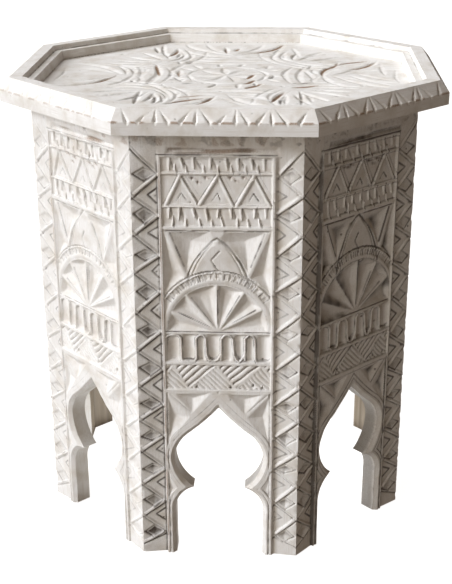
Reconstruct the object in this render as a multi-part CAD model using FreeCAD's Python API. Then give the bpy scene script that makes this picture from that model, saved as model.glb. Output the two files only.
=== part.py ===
import FreeCAD, Part
import math
import os

# Carved octagonal side table, in millimetres. +Z is up, the origin is on the floor under
# the middle of the top, and the front board faces -Y.

SIDES = 8

# Whole table
table_height = 500.0
top_across_flats = 460.0
base_across_flats = 402.0

# Rim moulding round the tray, from outside to inside
rim_bevel_in = 9.5
rim_bevel_drop = 11.7
rim_band_height = 12.3
rim_flat_width = 13.0
rim_step_in = 2.0
rim_step_drop = 5.5
rim_ledge_width = 7.5
rim_wall_in = 2.0
rim_wall_drop = 10.0
rim_rebate_width = 10.0

# Chip-cut flutes in the rim's bevel
flute_groups = 4
flutes_in_group = 3
flute_length = 13.0
flute_foot_width = 5.0
flute_depth = 2.2
flute_spread = 13.5
flute_deepest_share = 0.8

# Carved tray board
tray_lobe_length = 76.0
tray_lobe_width = 116.0
tray_lobe_bulge = 13.0
tray_lobe_runs = 4
tray_lobe_edge_gap = 8.0
tray_groove_width = 4.5
tray_groove_depth = 1.8
rosette_radius = 38.0
rosette_eye_radius = 6.0
rosette_petals = 8
rosette_ring_radius = 43.0
rosette_ring_width = 4.0
rosette_leaf_radius = 64.0
rosette_leaves = 12
shell_radius = 64.0
shell_hinge_gap = 84.0
shell_eye_radius = 12.0
shell_hood_radius = 26.0
groove_runs_in_turn = 16
shell_ribs = 5
shell_sweep_degrees = 100.0
chip_share = 0.8
petal_share = 0.5
leaf_share = 0.6
rib_share = 0.45

# Side boards of the base
board_thickness = 21.0
fascia_height = 19.0
strip_width = 25.5
strip_depth = 4.5
fillet_width = 4.0
field_depth = 1.6
line_width = 2.6

# Zigzag of chips down both side strips
zigzag_count = 11
zigzag_foot = 9.0
zigzag_head_gap = 5.0
zigzag_line = 2.4
zigzag_depth = 1.5

# Cusped arch through each side board
leg_width = 36.5
leg_straight_height = 52.0
cusp_reach = 19.5
cusp_height = 82.0
shoulder_height = 121.0
ogee_height = 149.0
ogee_half_width = 30.0
arch_height = 178.0
lower_cusp_bulge = 6.5
upper_cusp_bulge = 5.2
shoulder_bulge = 3.5
ogee_bulge = 1.8
arch_bevel = 5.0
arch_band_rise = 19.0

# Chip-carved hollows
pit_margin = 2.6
spandrel_pit_depth = 6.4
spandrel_foot_share = 0.62
spandrel_ridge_share = 0.5
cusp_pit_depth = 3.0
dome_pit_depth = 7.6
fan_pit_depth = 6.5
fan_deepest_share = 0.8
triangle_count = 3
triangle_pit_depth = 3.5
slot_depth = 4.5
slot_rib = 3.2
slot_lip = 4.0
slot_count = 8
ring_width = 12.5
ring_groove_depth = 1.5
ring_fillet = 2.2
fan_ray_count = 6

# Glued corner blocks, and battens with square cut nails, under the tray
block_leg = 40.0
block_lip = 12.0
block_height = 30.0
batten_width = 30.0
batten_height = 18.0
batten_length = 290.0
batten_offset = 60.0
nail_width = 3.2
nail_head_width = 7.0
nail_head_height = 1.5
nail_bite = 5.0
nail_spacing = 110.0

# Reach of every cutting shape past the wood that it cuts
overrun = 2.0

half_turn = math.pi / SIDES
mitre = math.tan(half_turn)

# Sizes worked out from the ones above
top_apothem = top_across_flats / 2
base_apothem = base_across_flats / 2
inner_apothem = base_apothem - board_thickness
top_thickness = rim_bevel_drop + rim_band_height
base_height = table_height - top_thickness
tray_level = table_height - rim_step_drop - rim_wall_drop
rim_inner_apothem = (top_apothem - rim_bevel_in - rim_flat_width - rim_step_in
                     - rim_ledge_width - rim_wall_in)
tray_apothem = rim_inner_apothem + rim_rebate_width
side_half = base_apothem * mitre
strip_inner = side_half - strip_width
field_half = strip_inner - fillet_width
arch_half = side_half - leg_width
cusp_half = arch_half - cusp_reach
fascia_bottom = base_height - fascia_height
carving_bottom = arch_height + arch_band_rise
carving_height = fascia_bottom - carving_bottom

# Levels of the raised lines between the carved bands, as shares of the carved height
band_line_shares = (0.0, 0.122, 0.258, 0.688, 0.775, 0.904)
HATCH, ARCADE, FAN, LOWER_COMB, TRIANGLES, UPPER_COMB = range(len(band_line_shares))

# Ring, dome and fan in the tallest band, as shares of the field's half width
ring_radius_share = 1.17
dome_foot_share = 0.56
dome_pit_inset_share = 0.12

names = ("front", "front_right", "right", "back_right", "back", "back_left", "left", "front_left")
corner_names = ("right_of_front", "front_of_right", "back_of_right", "right_of_back",
                "left_of_back", "back_of_left", "front_of_left", "left_of_front")


def spun(shape, angle):
    """A copy of a shape, turned about Z by an angle in radians."""
    copy = shape.copy()
    copy.rotate(FreeCAD.Vector(0, 0, 0), FreeCAD.Vector(0, 0, 1), math.degrees(angle))
    return copy


def turned(shape, index):
    """A copy of a front piece, turned to side number index."""
    return spun(shape, 2 * half_turn * index)


def prism(points, direction):
    """The solid swept along direction by the flat outline through points."""
    return Part.Face(Part.makePolygon(list(points) + [points[0]])).extrude(direction)


def mitred_slab(inner, outer, bottom, top):
    """A front board between two apothems, mitred at half the corner's angle."""
    points = [FreeCAD.Vector(-outer * mitre, -outer, bottom),
              FreeCAD.Vector(outer * mitre, -outer, bottom),
              FreeCAD.Vector(inner * mitre, -inner, bottom),
              FreeCAD.Vector(-inner * mitre, -inner, bottom)]
    return prism(points, FreeCAD.Vector(0, 0, top - bottom))


def octagon(apothem, bottom, top):
    """An eight-sided plate with its flats square to X and Y."""
    radius = apothem / math.cos(half_turn)
    points = []
    for corner in range(SIDES):
        angle = (2 * corner + 1) * half_turn
        points.append(FreeCAD.Vector(radius * math.cos(angle), radius * math.sin(angle), bottom))
    return prism(points, FreeCAD.Vector(0, 0, top - bottom))


def on_face(across, height, depth=0.0):
    """A point of the front board, by its place on the face and its depth behind it."""
    return FreeCAD.Vector(across, depth - base_apothem, height)


def pit(corners, lowest, outward):
    """A chip: the pyramid under flat surface corners, carried straight up past the surface."""
    tops = [corner + outward * overrun for corner in corners]
    faces = [Part.Face(Part.makePolygon(tops + [tops[0]]))]
    for first in range(len(corners)):
        second = (first + 1) % len(corners)
        start, end = corners[first], corners[second]
        faces.append(Part.Face(Part.makePolygon([start, end, lowest, start])))
        faces.append(Part.Face(Part.makePolygon([start, end, tops[second], tops[first], start])))
    return Part.Solid(Part.makeShell(faces))


def face_pit(corners, lowest_place, depth):
    """A chip in the front board, from (across, height) places and a depth."""
    points = [on_face(across, height) for across, height in corners]
    return pit(points, on_face(lowest_place[0], lowest_place[1], depth), FreeCAD.Vector(0, -1, 0))


def face_box(left, right, low, high, depth):
    """A flat-bottomed recess in the front board."""
    corner = on_face(left, low, -overrun)
    return Part.makeBox(right - left, depth + overrun, high - low, corner)


def twin_pits(places, depth):
    """Chips on both sides of the middle line, each deepest at the mean of its corners."""
    across = sum(place[0] for place in places) / len(places)
    height = sum(place[1] for place in places) / len(places)
    cuts = []
    for hand in (1, -1):
        corners = [(hand * place[0], place[1]) for place in places]
        cuts.append(face_pit(corners, (hand * across, height), depth))
    return cuts


def bulged(start, end, bulge, facing=FreeCAD.Vector(0, -1, 0)):
    """An arc from start to end whose middle stands bulge to the right of the chord."""
    chord = end - start
    side = chord.cross(facing).normalize()
    middle = (start + end) * 0.5 + side * bulge
    return Part.Arc(start, middle, end).toShape()


def arch_outline(grow, depth):
    """The closed outline of the cusped ogee arch, moved out by grow, at a depth behind the face."""
    half = arch_half + grow
    point_grow = grow / math.sin(half_turn * 2)
    edges = []
    for hand in (1, -1):
        below = on_face(hand * half, -overrun, depth)
        leg_top = on_face(hand * half, leg_straight_height, depth)
        cusp = on_face(hand * (cusp_half + point_grow), cusp_height, depth)
        shoulder = on_face(hand * half, shoulder_height, depth)
        ogee = on_face(hand * (ogee_half_width + grow / 2), ogee_height + grow / 2, depth)
        apex = on_face(0, arch_height + point_grow, depth)
        half_edges = [Part.makeLine(below, leg_top),
                      bulged(leg_top, cusp, hand * lower_cusp_bulge),
                      bulged(cusp, shoulder, hand * upper_cusp_bulge),
                      bulged(shoulder, ogee, hand * shoulder_bulge),
                      bulged(ogee, apex, -hand * ogee_bulge)]
        edges += half_edges if hand > 0 else reversed(half_edges)
    edges.append(Part.makeLine(on_face(-half, -overrun, depth), on_face(half, -overrun, depth)))
    return Part.Wire(edges)


def cut_arch(board):
    """Cuts the arch through a board and bevels its front edge."""
    hole = Part.Face(arch_outline(0, -overrun))
    opened = board.cut(hole.extrude(FreeCAD.Vector(0, board_thickness + 2 * overrun, 0)))
    flare = Part.makeLoft([arch_outline(0, arch_bevel),
                           arch_outline(arch_bevel + overrun, -overrun)], True, True)
    return opened.cut(flare)


def strip_cut(hand):
    """The wedge that slopes a side strip down from the table's corner to the inner fillet."""
    slope = strip_depth / strip_width
    points = [FreeCAD.Vector(hand * strip_inner, strip_depth - base_apothem, -overrun),
              FreeCAD.Vector(hand * strip_inner, -base_apothem - overrun, -overrun),
              FreeCAD.Vector(hand * (side_half + overrun), -base_apothem - overrun, -overrun),
              FreeCAD.Vector(hand * (side_half + overrun), -base_apothem - overrun * slope, -overrun)]
    return prism(points, FreeCAD.Vector(0, 0, fascia_bottom + overrun))


def on_strip(hand, share, height):
    """A point of a strip's sloped face, by its share of the way from the fillet to the corner."""
    across = strip_inner + strip_width * share
    return on_face(hand * across, height, strip_depth * (1 - share))


def strip_pits():
    """Chips on both sides of the zigzag line that runs down each strip."""
    pitch = (fascia_bottom - zigzag_head_gap - zigzag_foot) / zigzag_count
    line_share = zigzag_line / strip_width
    end = pitch / 2 - zigzag_line
    cuts = []
    for hand in (1, -1):
        outward = FreeCAD.Vector(-hand * strip_depth, -strip_width, 0).normalize()
        for number in range(zigzag_count):
            middle = zigzag_foot + (number + 0.5) * pitch
            chips = [(1 - line_share, line_share, middle)]
            if number + 1 < zigzag_count:
                chips.append((line_share, 1 - line_share, middle + pitch / 2))
            for base, tip, height in chips:
                corners = [on_strip(hand, base, height + end), on_strip(hand, base, height - end),
                           on_strip(hand, tip, height)]
                lowest = on_strip(hand, (2 * base + tip) / 3, height) - outward * zigzag_depth
                cuts.append(pit(corners, lowest, outward))
    return cuts


def band_bottom(band):
    """Height of the raised line under a carved band."""
    return carving_bottom + carving_height * band_line_shares[band]


def band_top(band):
    """Height of the raised line over a carved band."""
    if band + 1 < len(band_line_shares):
        return band_bottom(band + 1)
    return fascia_bottom


def band_recesses():
    """The sunk ground of each carved band, with a raised line left between bands."""
    cuts = []
    for band in range(len(band_line_shares)):
        cuts.append(face_box(-field_half, field_half, band_bottom(band) + line_width / 2,
                             band_top(band) - line_width / 2, field_depth))
    return cuts


def arch_pits():
    """Paired three-sided hollows beside the arch's head, and one beside each cusp."""
    edge = field_half - pit_margin / 2
    head = carving_bottom - pit_margin
    foot = carving_bottom - (carving_bottom - shoulder_height) * spandrel_foot_share
    ridge = field_half * spandrel_ridge_share
    crown = ogee_height + arch_band_rise + pit_margin
    upper = [(field_half - 2 * pit_margin, head), (2 * pit_margin, head), (ridge - pit_margin, crown)]
    lower = [(edge, head - 2 * pit_margin), (ridge + pit_margin, crown - pit_margin), (edge, foot)]
    beside = [(arch_half + pit_margin, cusp_height + cusp_reach),
              (arch_half + pit_margin, cusp_height - cusp_reach),
              (cusp_half + 2 * arch_bevel, cusp_height)]
    return (twin_pits(upper, spandrel_pit_depth) + twin_pits(lower, spandrel_pit_depth)
            + twin_pits(beside, cusp_pit_depth))


def dome_pits():
    """Paired hollows in the corners between the dome, the ring and the fillets."""
    centre = fan_centre_height()
    edge = field_half - pit_margin / 2
    head = band_top(FAN) - pit_margin
    inset = field_half * dome_pit_inset_share
    dome_foot = field_half * dome_foot_share
    ring_radius = field_half * ring_radius_share
    ring_touch = centre + math.sqrt(ring_radius ** 2 - dome_foot ** 2) + pit_margin
    ring_side = centre + math.sqrt(ring_radius ** 2 - edge ** 2) + pit_margin
    upper = [(field_half - inset, head), (inset, head), (dome_foot + pit_margin / 2, ring_touch + pit_margin)]
    lower = [(edge, head - inset), (dome_foot + 2 * pit_margin, ring_touch), (edge, ring_side)]
    return twin_pits(upper, dome_pit_depth) + twin_pits(lower, dome_pit_depth)


def fan_centre_height():
    """Height of the point where the fan's rays meet."""
    return band_bottom(FAN) + line_width


def fan_pits():
    """The fan's rays: hollows that widen and deepen from the centre to the ring."""
    centre = fan_centre_height()
    radius = field_half * ring_radius_share - ring_width
    reach = radius * fan_deepest_share
    sweep = math.pi / fan_ray_count
    cuts = []
    for ray in range(fan_ray_count):
        places = [(0, centre)]
        for bound in (ray, ray + 1):
            places.append((radius * math.cos(bound * sweep), centre + radius * math.sin(bound * sweep)))
        middle = (ray + 0.5) * sweep
        lowest = (reach * math.cos(middle), centre + reach * math.sin(middle))
        cuts.append(face_pit(places, lowest, fan_pit_depth))
    return cuts


def ring_groove():
    """The sunk ground of the notched ring, clipped by the fillets and the fan's base line."""
    centre = on_face(0, fan_centre_height(), -overrun)
    outer = field_half * ring_radius_share - ring_fillet
    inner = outer - ring_width + 2 * ring_fillet
    depth = field_depth + ring_groove_depth
    ahead = FreeCAD.Vector(0, 1, 0)
    ring = Part.makeCylinder(outer, depth + overrun, centre, ahead)
    ring = ring.cut(Part.makeCylinder(inner, depth + overrun, centre, ahead))
    return ring.common(face_box(-field_half, field_half, fan_centre_height(), band_top(FAN), depth))


def arcade_slots():
    """Upright slots, open by turns at the top and at the bottom, that leave a ribbon between."""
    low = band_bottom(ARCADE) + line_width / 2
    high = band_top(ARCADE) - line_width / 2
    pitch = 2 * field_half / slot_count
    cuts = []
    for number in range(slot_count):
        left = -field_half + number * pitch + slot_rib / 2
        open_below = number % 2 == 0
        from_low = low if open_below else low + slot_lip
        to_high = high - slot_lip if open_below else high
        cuts.append(face_box(left, left + pitch - slot_rib, from_low, to_high, slot_depth))
    return cuts


def triangle_pits():
    """Hanging three-sided hollows between the big triangles of the upper frieze."""
    low = band_bottom(TRIANGLES) + pit_margin
    high = band_top(TRIANGLES) - pit_margin
    pitch = 2 * field_half / triangle_count
    reach = pitch / 2 - pit_margin
    cuts = []
    for number in range(triangle_count - 1):
        middle = -field_half + (number + 1) * pitch
        places = [(middle - reach, high), (middle + reach, high), (middle, low)]
        cuts.append(face_pit(places, (middle, high - (high - low) / 3), triangle_pit_depth))
    return cuts


def side_board():
    """The front side board with its arch and main carving."""
    board = mitred_slab(inner_apothem, base_apothem, 0, base_height)
    board = cut_arch(board)
    cuts = [strip_cut(1), strip_cut(-1)]
    cuts += band_recesses()
    board = board.cut(Part.makeCompound(cuts))
    deep = arch_pits() + dome_pits() + fan_pits() + arcade_slots() + triangle_pits()
    deep += strip_pits()
    deep.append(ring_groove())
    for tool in deep:
        board = board.cut(tool)
    return board.Solids[0]


def rim_profile():
    """The rim's section as (apothem, height) points, from the underside outwards and over."""
    outer = top_apothem
    bevel_top = outer - rim_bevel_in
    flat_inner = bevel_top - rim_flat_width
    step_foot = flat_inner - rim_step_in
    ledge_inner = step_foot - rim_ledge_width
    step_level = table_height - rim_step_drop
    return [(tray_apothem, base_height), (outer, base_height),
            (outer, base_height + rim_band_height), (bevel_top, table_height),
            (flat_inner, table_height), (step_foot, step_level),
            (ledge_inner, step_level), (rim_inner_apothem, tray_level),
            (tray_apothem, tray_level)]


def rim_flutes():
    """Groups of three chips that fan out down the bevel's face."""
    slope = FreeCAD.Vector(0, -rim_bevel_in, -rim_bevel_drop)
    outward = FreeCAD.Vector(0, -rim_bevel_drop, rim_bevel_in).normalize()
    top_line = FreeCAD.Vector(0, rim_bevel_in - top_apothem, table_height)
    side = 2 * top_apothem * mitre
    pitch = side / (flute_groups + 1)
    length_share = flute_length / slope.Length
    deepest_share = length_share * flute_deepest_share
    half = FreeCAD.Vector(flute_foot_width / 2, 0, 0)
    cuts = []
    for group in range(flute_groups):
        middle = -side / 2 + (group + 1) * pitch
        for ray in range(flutes_in_group):
            lean = ray - (flutes_in_group - 1) / 2
            head = top_line + FreeCAD.Vector(middle + lean * flute_foot_width / 2, 0, 0)
            foot = top_line + slope * length_share + FreeCAD.Vector(middle + lean * flute_spread, 0, 0)
            deepest = top_line + slope * deepest_share
            deepest += FreeCAD.Vector(middle + lean * flute_spread * flute_deepest_share, 0, 0)
            cuts.append(pit([head, foot + half, foot - half], deepest - outward * flute_depth, outward))
    return cuts


def rim_moulding():
    """The front length of rim, mitred at both ends."""
    longest = top_apothem * mitre + overrun
    points = [FreeCAD.Vector(-longest, -apothem, height) for apothem, height in rim_profile()]
    length = prism(points, FreeCAD.Vector(2 * longest, 0, 0))
    wedge = mitred_slab(0, top_apothem + overrun, base_height - overrun, table_height + overrun)
    moulding = length.common(wedge)
    for tool in rim_flutes():
        moulding = moulding.cut(tool)
    return moulding.Solids[0]


def fan_chips(centre, axis, sweep, count, inner, outer, fullness):
    """Narrow chips that fan out round a point of the tray, spread evenly about an axis."""
    step = sweep / count
    deepest = inner + (outer - inner) * chip_share
    half = deepest * math.tan(step / 2) * fullness
    chips = []
    for number in range(count):
        angle = axis + (number - (count - 1) / 2) * step
        ray = FreeCAD.Vector(math.cos(angle), math.sin(angle), 0)
        across = FreeCAD.Vector(-math.sin(angle), math.cos(angle), 0)
        corners = [centre + ray * inner, centre + ray * deepest + across * half,
                   centre + ray * outer, centre + ray * deepest - across * half]
        lowest = centre + ray * deepest - FreeCAD.Vector(0, 0, tray_groove_depth)
        chips.append(pit(corners, lowest, FreeCAD.Vector(0, 0, 1)))
    return chips


def groove_plate(points):
    """A plate of this outline that reaches from the floor of the tray's grooves past its top."""
    return prism(points, FreeCAD.Vector(0, 0, tray_groove_depth + overrun))


def lobe_plate(half_width, reach):
    """A pointed plate with bulging sides in straight runs, from the tray's edge gap inwards."""
    outer = rim_inner_apothem - tray_lobe_edge_gap
    floor = tray_level - tray_groove_depth
    right = FreeCAD.Vector(outer, -half_width, floor)
    left = FreeCAD.Vector(outer, half_width, floor)
    tip = FreeCAD.Vector(outer - reach, 0, floor)
    points = []
    for start, end in ((left, tip), (tip, right)):
        side = bulged(start, end, tray_lobe_bulge, FreeCAD.Vector(0, 0, 1))
        points += side.discretize(Number=tray_lobe_runs + 1)[:-1]
    return groove_plate(points + [right])


def round_plate(middle, radius, degrees):
    """A plate with a many-sided outline round a point, or the part of one from its right through degrees."""
    step = 360 / groove_runs_in_turn
    points = []
    for run in range(groove_runs_in_turn):
        if run * step <= degrees:
            angle = math.radians(run * step)
            points.append(middle + FreeCAD.Vector(radius * math.cos(angle), radius * math.sin(angle),
                                                  -tray_groove_depth))
    return groove_plate(points)


def round_groove(middle, radius, degrees):
    """A flat-bottomed groove in the tray round a point."""
    outer = round_plate(middle, radius + rosette_ring_width / 2, degrees)
    return outer.cut(round_plate(middle, radius - rosette_ring_width / 2, 360))


def tray_cuts():
    """The tray's carving: a ringed rosette, a lobe on each axis and a hooded shell on each diagonal."""
    centre = FreeCAD.Vector(0, 0, tray_level)
    full_turn = 2 * math.pi
    cuts = fan_chips(centre, 0, full_turn, rosette_petals, rosette_eye_radius, rosette_radius, petal_share)
    cuts.append(round_groove(centre, rosette_ring_radius, 360))
    leaves_start = rosette_ring_radius + rosette_ring_width
    cuts += fan_chips(centre, 0, full_turn, rosette_leaves, leaves_start, rosette_leaf_radius, leaf_share)
    lobe = lobe_plate(tray_lobe_width / 2, tray_lobe_length)
    lobe_core = lobe_plate(tray_lobe_width / 2 - tray_groove_width, tray_lobe_length - 2 * tray_groove_width)
    lobe_groove = lobe.cut(lobe_core)
    hinge = FreeCAD.Vector(rim_inner_apothem - shell_hinge_gap, 0, tray_level)
    hood = round_groove(hinge, shell_hood_radius, 180)
    hood.rotate(hinge, FreeCAD.Vector(0, 0, 1), 90)
    shell = fan_chips(hinge, 0, math.radians(shell_sweep_degrees), shell_ribs, shell_eye_radius,
                      shell_radius, rib_share) + [hood]
    for quarter in range(4):
        cuts.append(spun(lobe_groove, quarter * full_turn / 4))
        cuts += [spun(tool, (quarter + 0.5) * full_turn / 4) for tool in shell]
    return cuts


def tray_board():
    """The octagonal tray board with its carving, held under the rim's rebate."""
    board = octagon(tray_apothem, base_height, tray_level)
    for tool in tray_cuts():
        board = board.cut(tool)
    return board.Solids[0]


def square_bar(width, place, height):
    """An upright bar of square section, centred on place."""
    corner = place - FreeCAD.Vector(width / 2, width / 2, 0)
    return Part.makeBox(width, width, height, corner)


def inner_corner():
    """The corner between the front board's inner face and the next one's, under the blocks."""
    return FreeCAD.Vector(inner_apothem * mitre, -inner_apothem, base_height - block_height)


def from_corner():
    """The level direction from that corner to the middle of the table."""
    return FreeCAD.Vector(-math.sin(half_turn), math.cos(half_turn), 0)


def corner_block():
    """The glue block in the corner on the front board's right, under the tray."""
    corner = inner_corner()
    front_end = corner + FreeCAD.Vector(-block_leg, 0, 0)
    next_end = corner + FreeCAD.Vector(math.cos(2 * half_turn), math.sin(2 * half_turn), 0) * block_leg
    lip = from_corner() * block_lip
    points = [corner, next_end, next_end + lip, front_end + lip, front_end]
    return prism(points, FreeCAD.Vector(0, 0, block_height))


def batten(hand):
    """A stiffening batten across the underside of the tray."""
    left = hand * batten_offset - batten_width / 2
    corner = FreeCAD.Vector(left, -batten_length / 2, base_height - batten_height)
    return Part.makeBox(batten_width, batten_length, batten_height, corner)


def batten_nails(hand):
    """The three square cut nails driven up through one batten into the tray, heads let in flush."""
    nails = []
    for step in (-1, 0, 1):
        place = FreeCAD.Vector(hand * batten_offset, step * nail_spacing, base_height - batten_height)
        head = square_bar(nail_head_width, place, nail_head_height)
        nails.append(head.fuse(square_bar(nail_width, place, batten_height + nail_bite)))
    return nails


def main():
    """Builds every piece and writes one file for each node."""
    os.makedirs("parts", exist_ok=True)
    nodes = {}
    board = side_board()
    moulding = rim_moulding()
    block = corner_block()
    nails = batten_nails(1) + batten_nails(-1)
    for index, name in enumerate(names):
        nodes["side_board_" + name] = turned(board, index)
        nodes["rim_" + name] = turned(moulding, index)
        nodes["corner_block_" + corner_names[index]] = turned(block, index)
    nodes["batten_right"] = batten(1).cut(Part.makeCompound(nails))
    nodes["batten_left"] = batten(-1).cut(Part.makeCompound(nails))
    nodes["tray_board"] = tray_board().cut(Part.makeCompound(nails))
    nodes["batten_nails"] = Part.makeCompound(nails)
    for name, shape in nodes.items():
        shape.exportStep("parts/" + name + ".step")
        print(name, len(shape.Solids), round(shape.Volume), shape.isValid())


main()
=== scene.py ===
"""Carved octagonal side table in worn white paint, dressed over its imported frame.

Lengths inside the classes are in millimetres and meshes are placed in metres. A board's face is drawn as it is
seen from in front of it: x across from its middle to the right, y up.
"""

import logging
import math
from collections.abc import Callable, Sequence
from dataclasses import dataclass
from enum import Enum

import bmesh
import bpy
import numpy as np
from mathutils import Matrix, Vector


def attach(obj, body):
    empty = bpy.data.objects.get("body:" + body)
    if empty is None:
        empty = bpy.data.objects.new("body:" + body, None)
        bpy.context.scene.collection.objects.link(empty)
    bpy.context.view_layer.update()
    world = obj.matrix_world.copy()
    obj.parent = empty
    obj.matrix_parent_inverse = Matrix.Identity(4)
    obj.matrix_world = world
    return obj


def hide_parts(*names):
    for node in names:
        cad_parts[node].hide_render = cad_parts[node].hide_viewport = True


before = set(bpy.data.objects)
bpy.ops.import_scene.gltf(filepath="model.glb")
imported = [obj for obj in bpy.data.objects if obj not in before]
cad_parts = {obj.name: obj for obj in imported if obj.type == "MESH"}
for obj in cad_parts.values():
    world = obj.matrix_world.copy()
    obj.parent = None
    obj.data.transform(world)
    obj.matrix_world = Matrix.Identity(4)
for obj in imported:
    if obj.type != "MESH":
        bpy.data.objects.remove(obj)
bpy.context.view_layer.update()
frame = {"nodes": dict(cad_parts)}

log = logging.getLogger("table")
MM = 0.001
SIDES = 8
MITRE = math.tan(math.pi / SIDES)
TINY = 1e-6

Point = tuple[float, float]
Array = np.ndarray
Marks = dict[str, Array]
Socket = bpy.types.NodeSocket
Tree = bpy.types.NodeTree


@dataclass(frozen=True)
class Side:
    """What the maker's hand and the years gave one side of the table, and the shade painted on it.

    Attributes:
        name: Its name in the frame.
        cut_shade_and_soiling: Strength of the dirt and painted shade in its cuts, highest on the sides turned from the
            light.
        grime_and_shade: Dirt and painted shade all over its panel, 0 to 1, highest on the sides turned from the light.
        strip_shade_and_grime: Painted shade, tinted like dirt, all over its left strip, which slopes away from the
            light, 0 to 1.
        strip_depth: Depth of its strips' inner edge in mm.
        strip_strength: Share of the full depth that the strips' pattern has.
        ledge: How far outward the right strip is deepest, in mm.
        dome_rise: Height of the dome in mm.
        ring_outer: Radius of the ring's outer edge in mm.
        flute_depth: Depth of the rim's chips in mm.
    """
    name: str
    cut_shade_and_soiling: float
    grime_and_shade: float
    strip_shade_and_grime: float
    strip_depth: float
    strip_strength: float
    ledge: float
    dome_rise: float
    ring_outer: float
    flute_depth: float


MADE_SIDES = (
    Side("front", 1.0, 0.0, 0.2, 4.3, 1.0, 2.0, 49.3, 63.5, 2.6),
    Side("front_right", 1.5, 0.2, 0.06, 2.8, 0.9, 0.9, 57.0, 69.0, 2.6),
    Side("right", 1.5, 0.2, 0.06, 3.4, 0.9, 0.9, 57.0, 67.0, 2.6),
    Side("back_right", 1.2, 0.06, 0.06, 4.3, 1.0, 0.9, 53.0, 64.5, 2.6),
    Side("back", 1.0, 0.0, 0.0, 4.3, 1.0, 0.9, 49.3, 63.5, 2.2),
    Side("back_left", 0.9, 0.0, 0.0, 4.3, 0.9, 0.9, 51.0, 64.0, 1.6),
    Side("left", 0.6, 0.0, 0.0, 3.4, 0.6, 0.9, 55.0, 65.0, 1.3),
    Side("front_left", 0.6, 0.0, 0.0, 2.6, 0.5, 0.9, 57.0, 65.0, 1.3))


def linear(shade: str) -> tuple[float, float, float, float]:
    """Turns an sRGB hex colour into linear colour.

    Args:
        shade: Six hex digits.

    Returns:
        Red, green, blue and full alpha.
    """
    parts = [int(shade[at:at + 2], 16) / 255 for at in (0, 2, 4)]
    red, green, blue = (part / 12.92 if part <= 0.04045 else ((part + 0.055) / 1.055) ** 2.4 for part in parts)
    return red, green, blue, 1.0


def mottle(x: Array, y: Array, cell: float, seed: int) -> Array:
    """Draws smooth random patches on a plane.

    Args:
        x, y: Places in mm.
        cell: Width of a patch in mm.
        seed: Picks the pattern.

    Returns:
        A value from 0 to 1 for each place.
    """
    column, row = np.floor(x / cell).astype(np.int64), np.floor(y / cell).astype(np.int64)
    across, up = x / cell - column, y / cell - row
    across, up = across * across * (3 - 2 * across), up * up * (3 - 2 * up)

    def at(step: int, rise: int) -> Array:
        """Gives the random value of one corner of each cell."""
        key = (column + step) * 374761393 + (row + rise) * 668265263 + seed * 144266504
        key = (key ^ (key >> 13)) * 1274126177
        return ((key ^ (key >> 16)) & 0xFFFF) / 65535

    low = at(0, 0) * (1 - across) + at(1, 0) * across
    high = at(0, 1) * (1 - across) + at(1, 1) * across
    return low * (1 - up) + high * up


def ramp(value: Array, low: float, high: float) -> Array:
    """Rises smoothly from 0 at low to 1 at high."""
    share = np.clip((value - low) / (high - low), 0, 1)
    return share * share * (3 - 2 * share)


def lane(gap: Array, half: float, crest: float = 1.0) -> Array:
    """Gives a soft line: highest where the gap is 0, down to 0 where it is half * crest wide."""
    return np.clip(crest - np.abs(gap) / half, 0, 1)


def blurred(picture: Array, reach: int) -> Array:
    """Averages a grid of values over a square of 2 * reach + 1 cells."""
    for axis in (0, 1):
        ends = [(0, 0), (0, 0)]
        ends[axis] = (reach + 1, reach)
        total = np.cumsum(np.pad(picture, ends, mode="edge"), axis=axis)
        width = 2 * reach + 1
        later = np.take(total, range(width, total.shape[axis]), axis=axis)
        picture = (later - np.take(total, range(0, total.shape[axis] - width), axis=axis)) / width
    return picture


def softened(path: Sequence[Point], rounds: int = 2) -> list[Point]:
    """Rounds a path off by cutting its corners.

    Args:
        path: Points joined by straight runs.
        rounds: How often the corners are cut.

    Returns:
        The rounder path, with the same ends.
    """
    for _ in range(rounds):
        cut = [path[0]]
        for (ax, ay), (bx, by) in zip(path, path[1:]):
            cut += [(ax * 0.75 + bx * 0.25, ay * 0.75 + by * 0.25), (ax * 0.25 + bx * 0.75, ay * 0.25 + by * 0.75)]
        path = cut + [path[-1]]
    return list(path)


def moved(path: Sequence[Point], *steps: Point) -> list[Point]:
    """Moves each point of a path by its own step."""
    return [(x + across, y + up) for (x, y), (across, up) in zip(path, steps)]


@dataclass(frozen=True)
class Curve:
    """A round side of a hollow: the hollow lies inside the circle, or outside it."""
    centre: Point
    radius: float
    inside: bool


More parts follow.
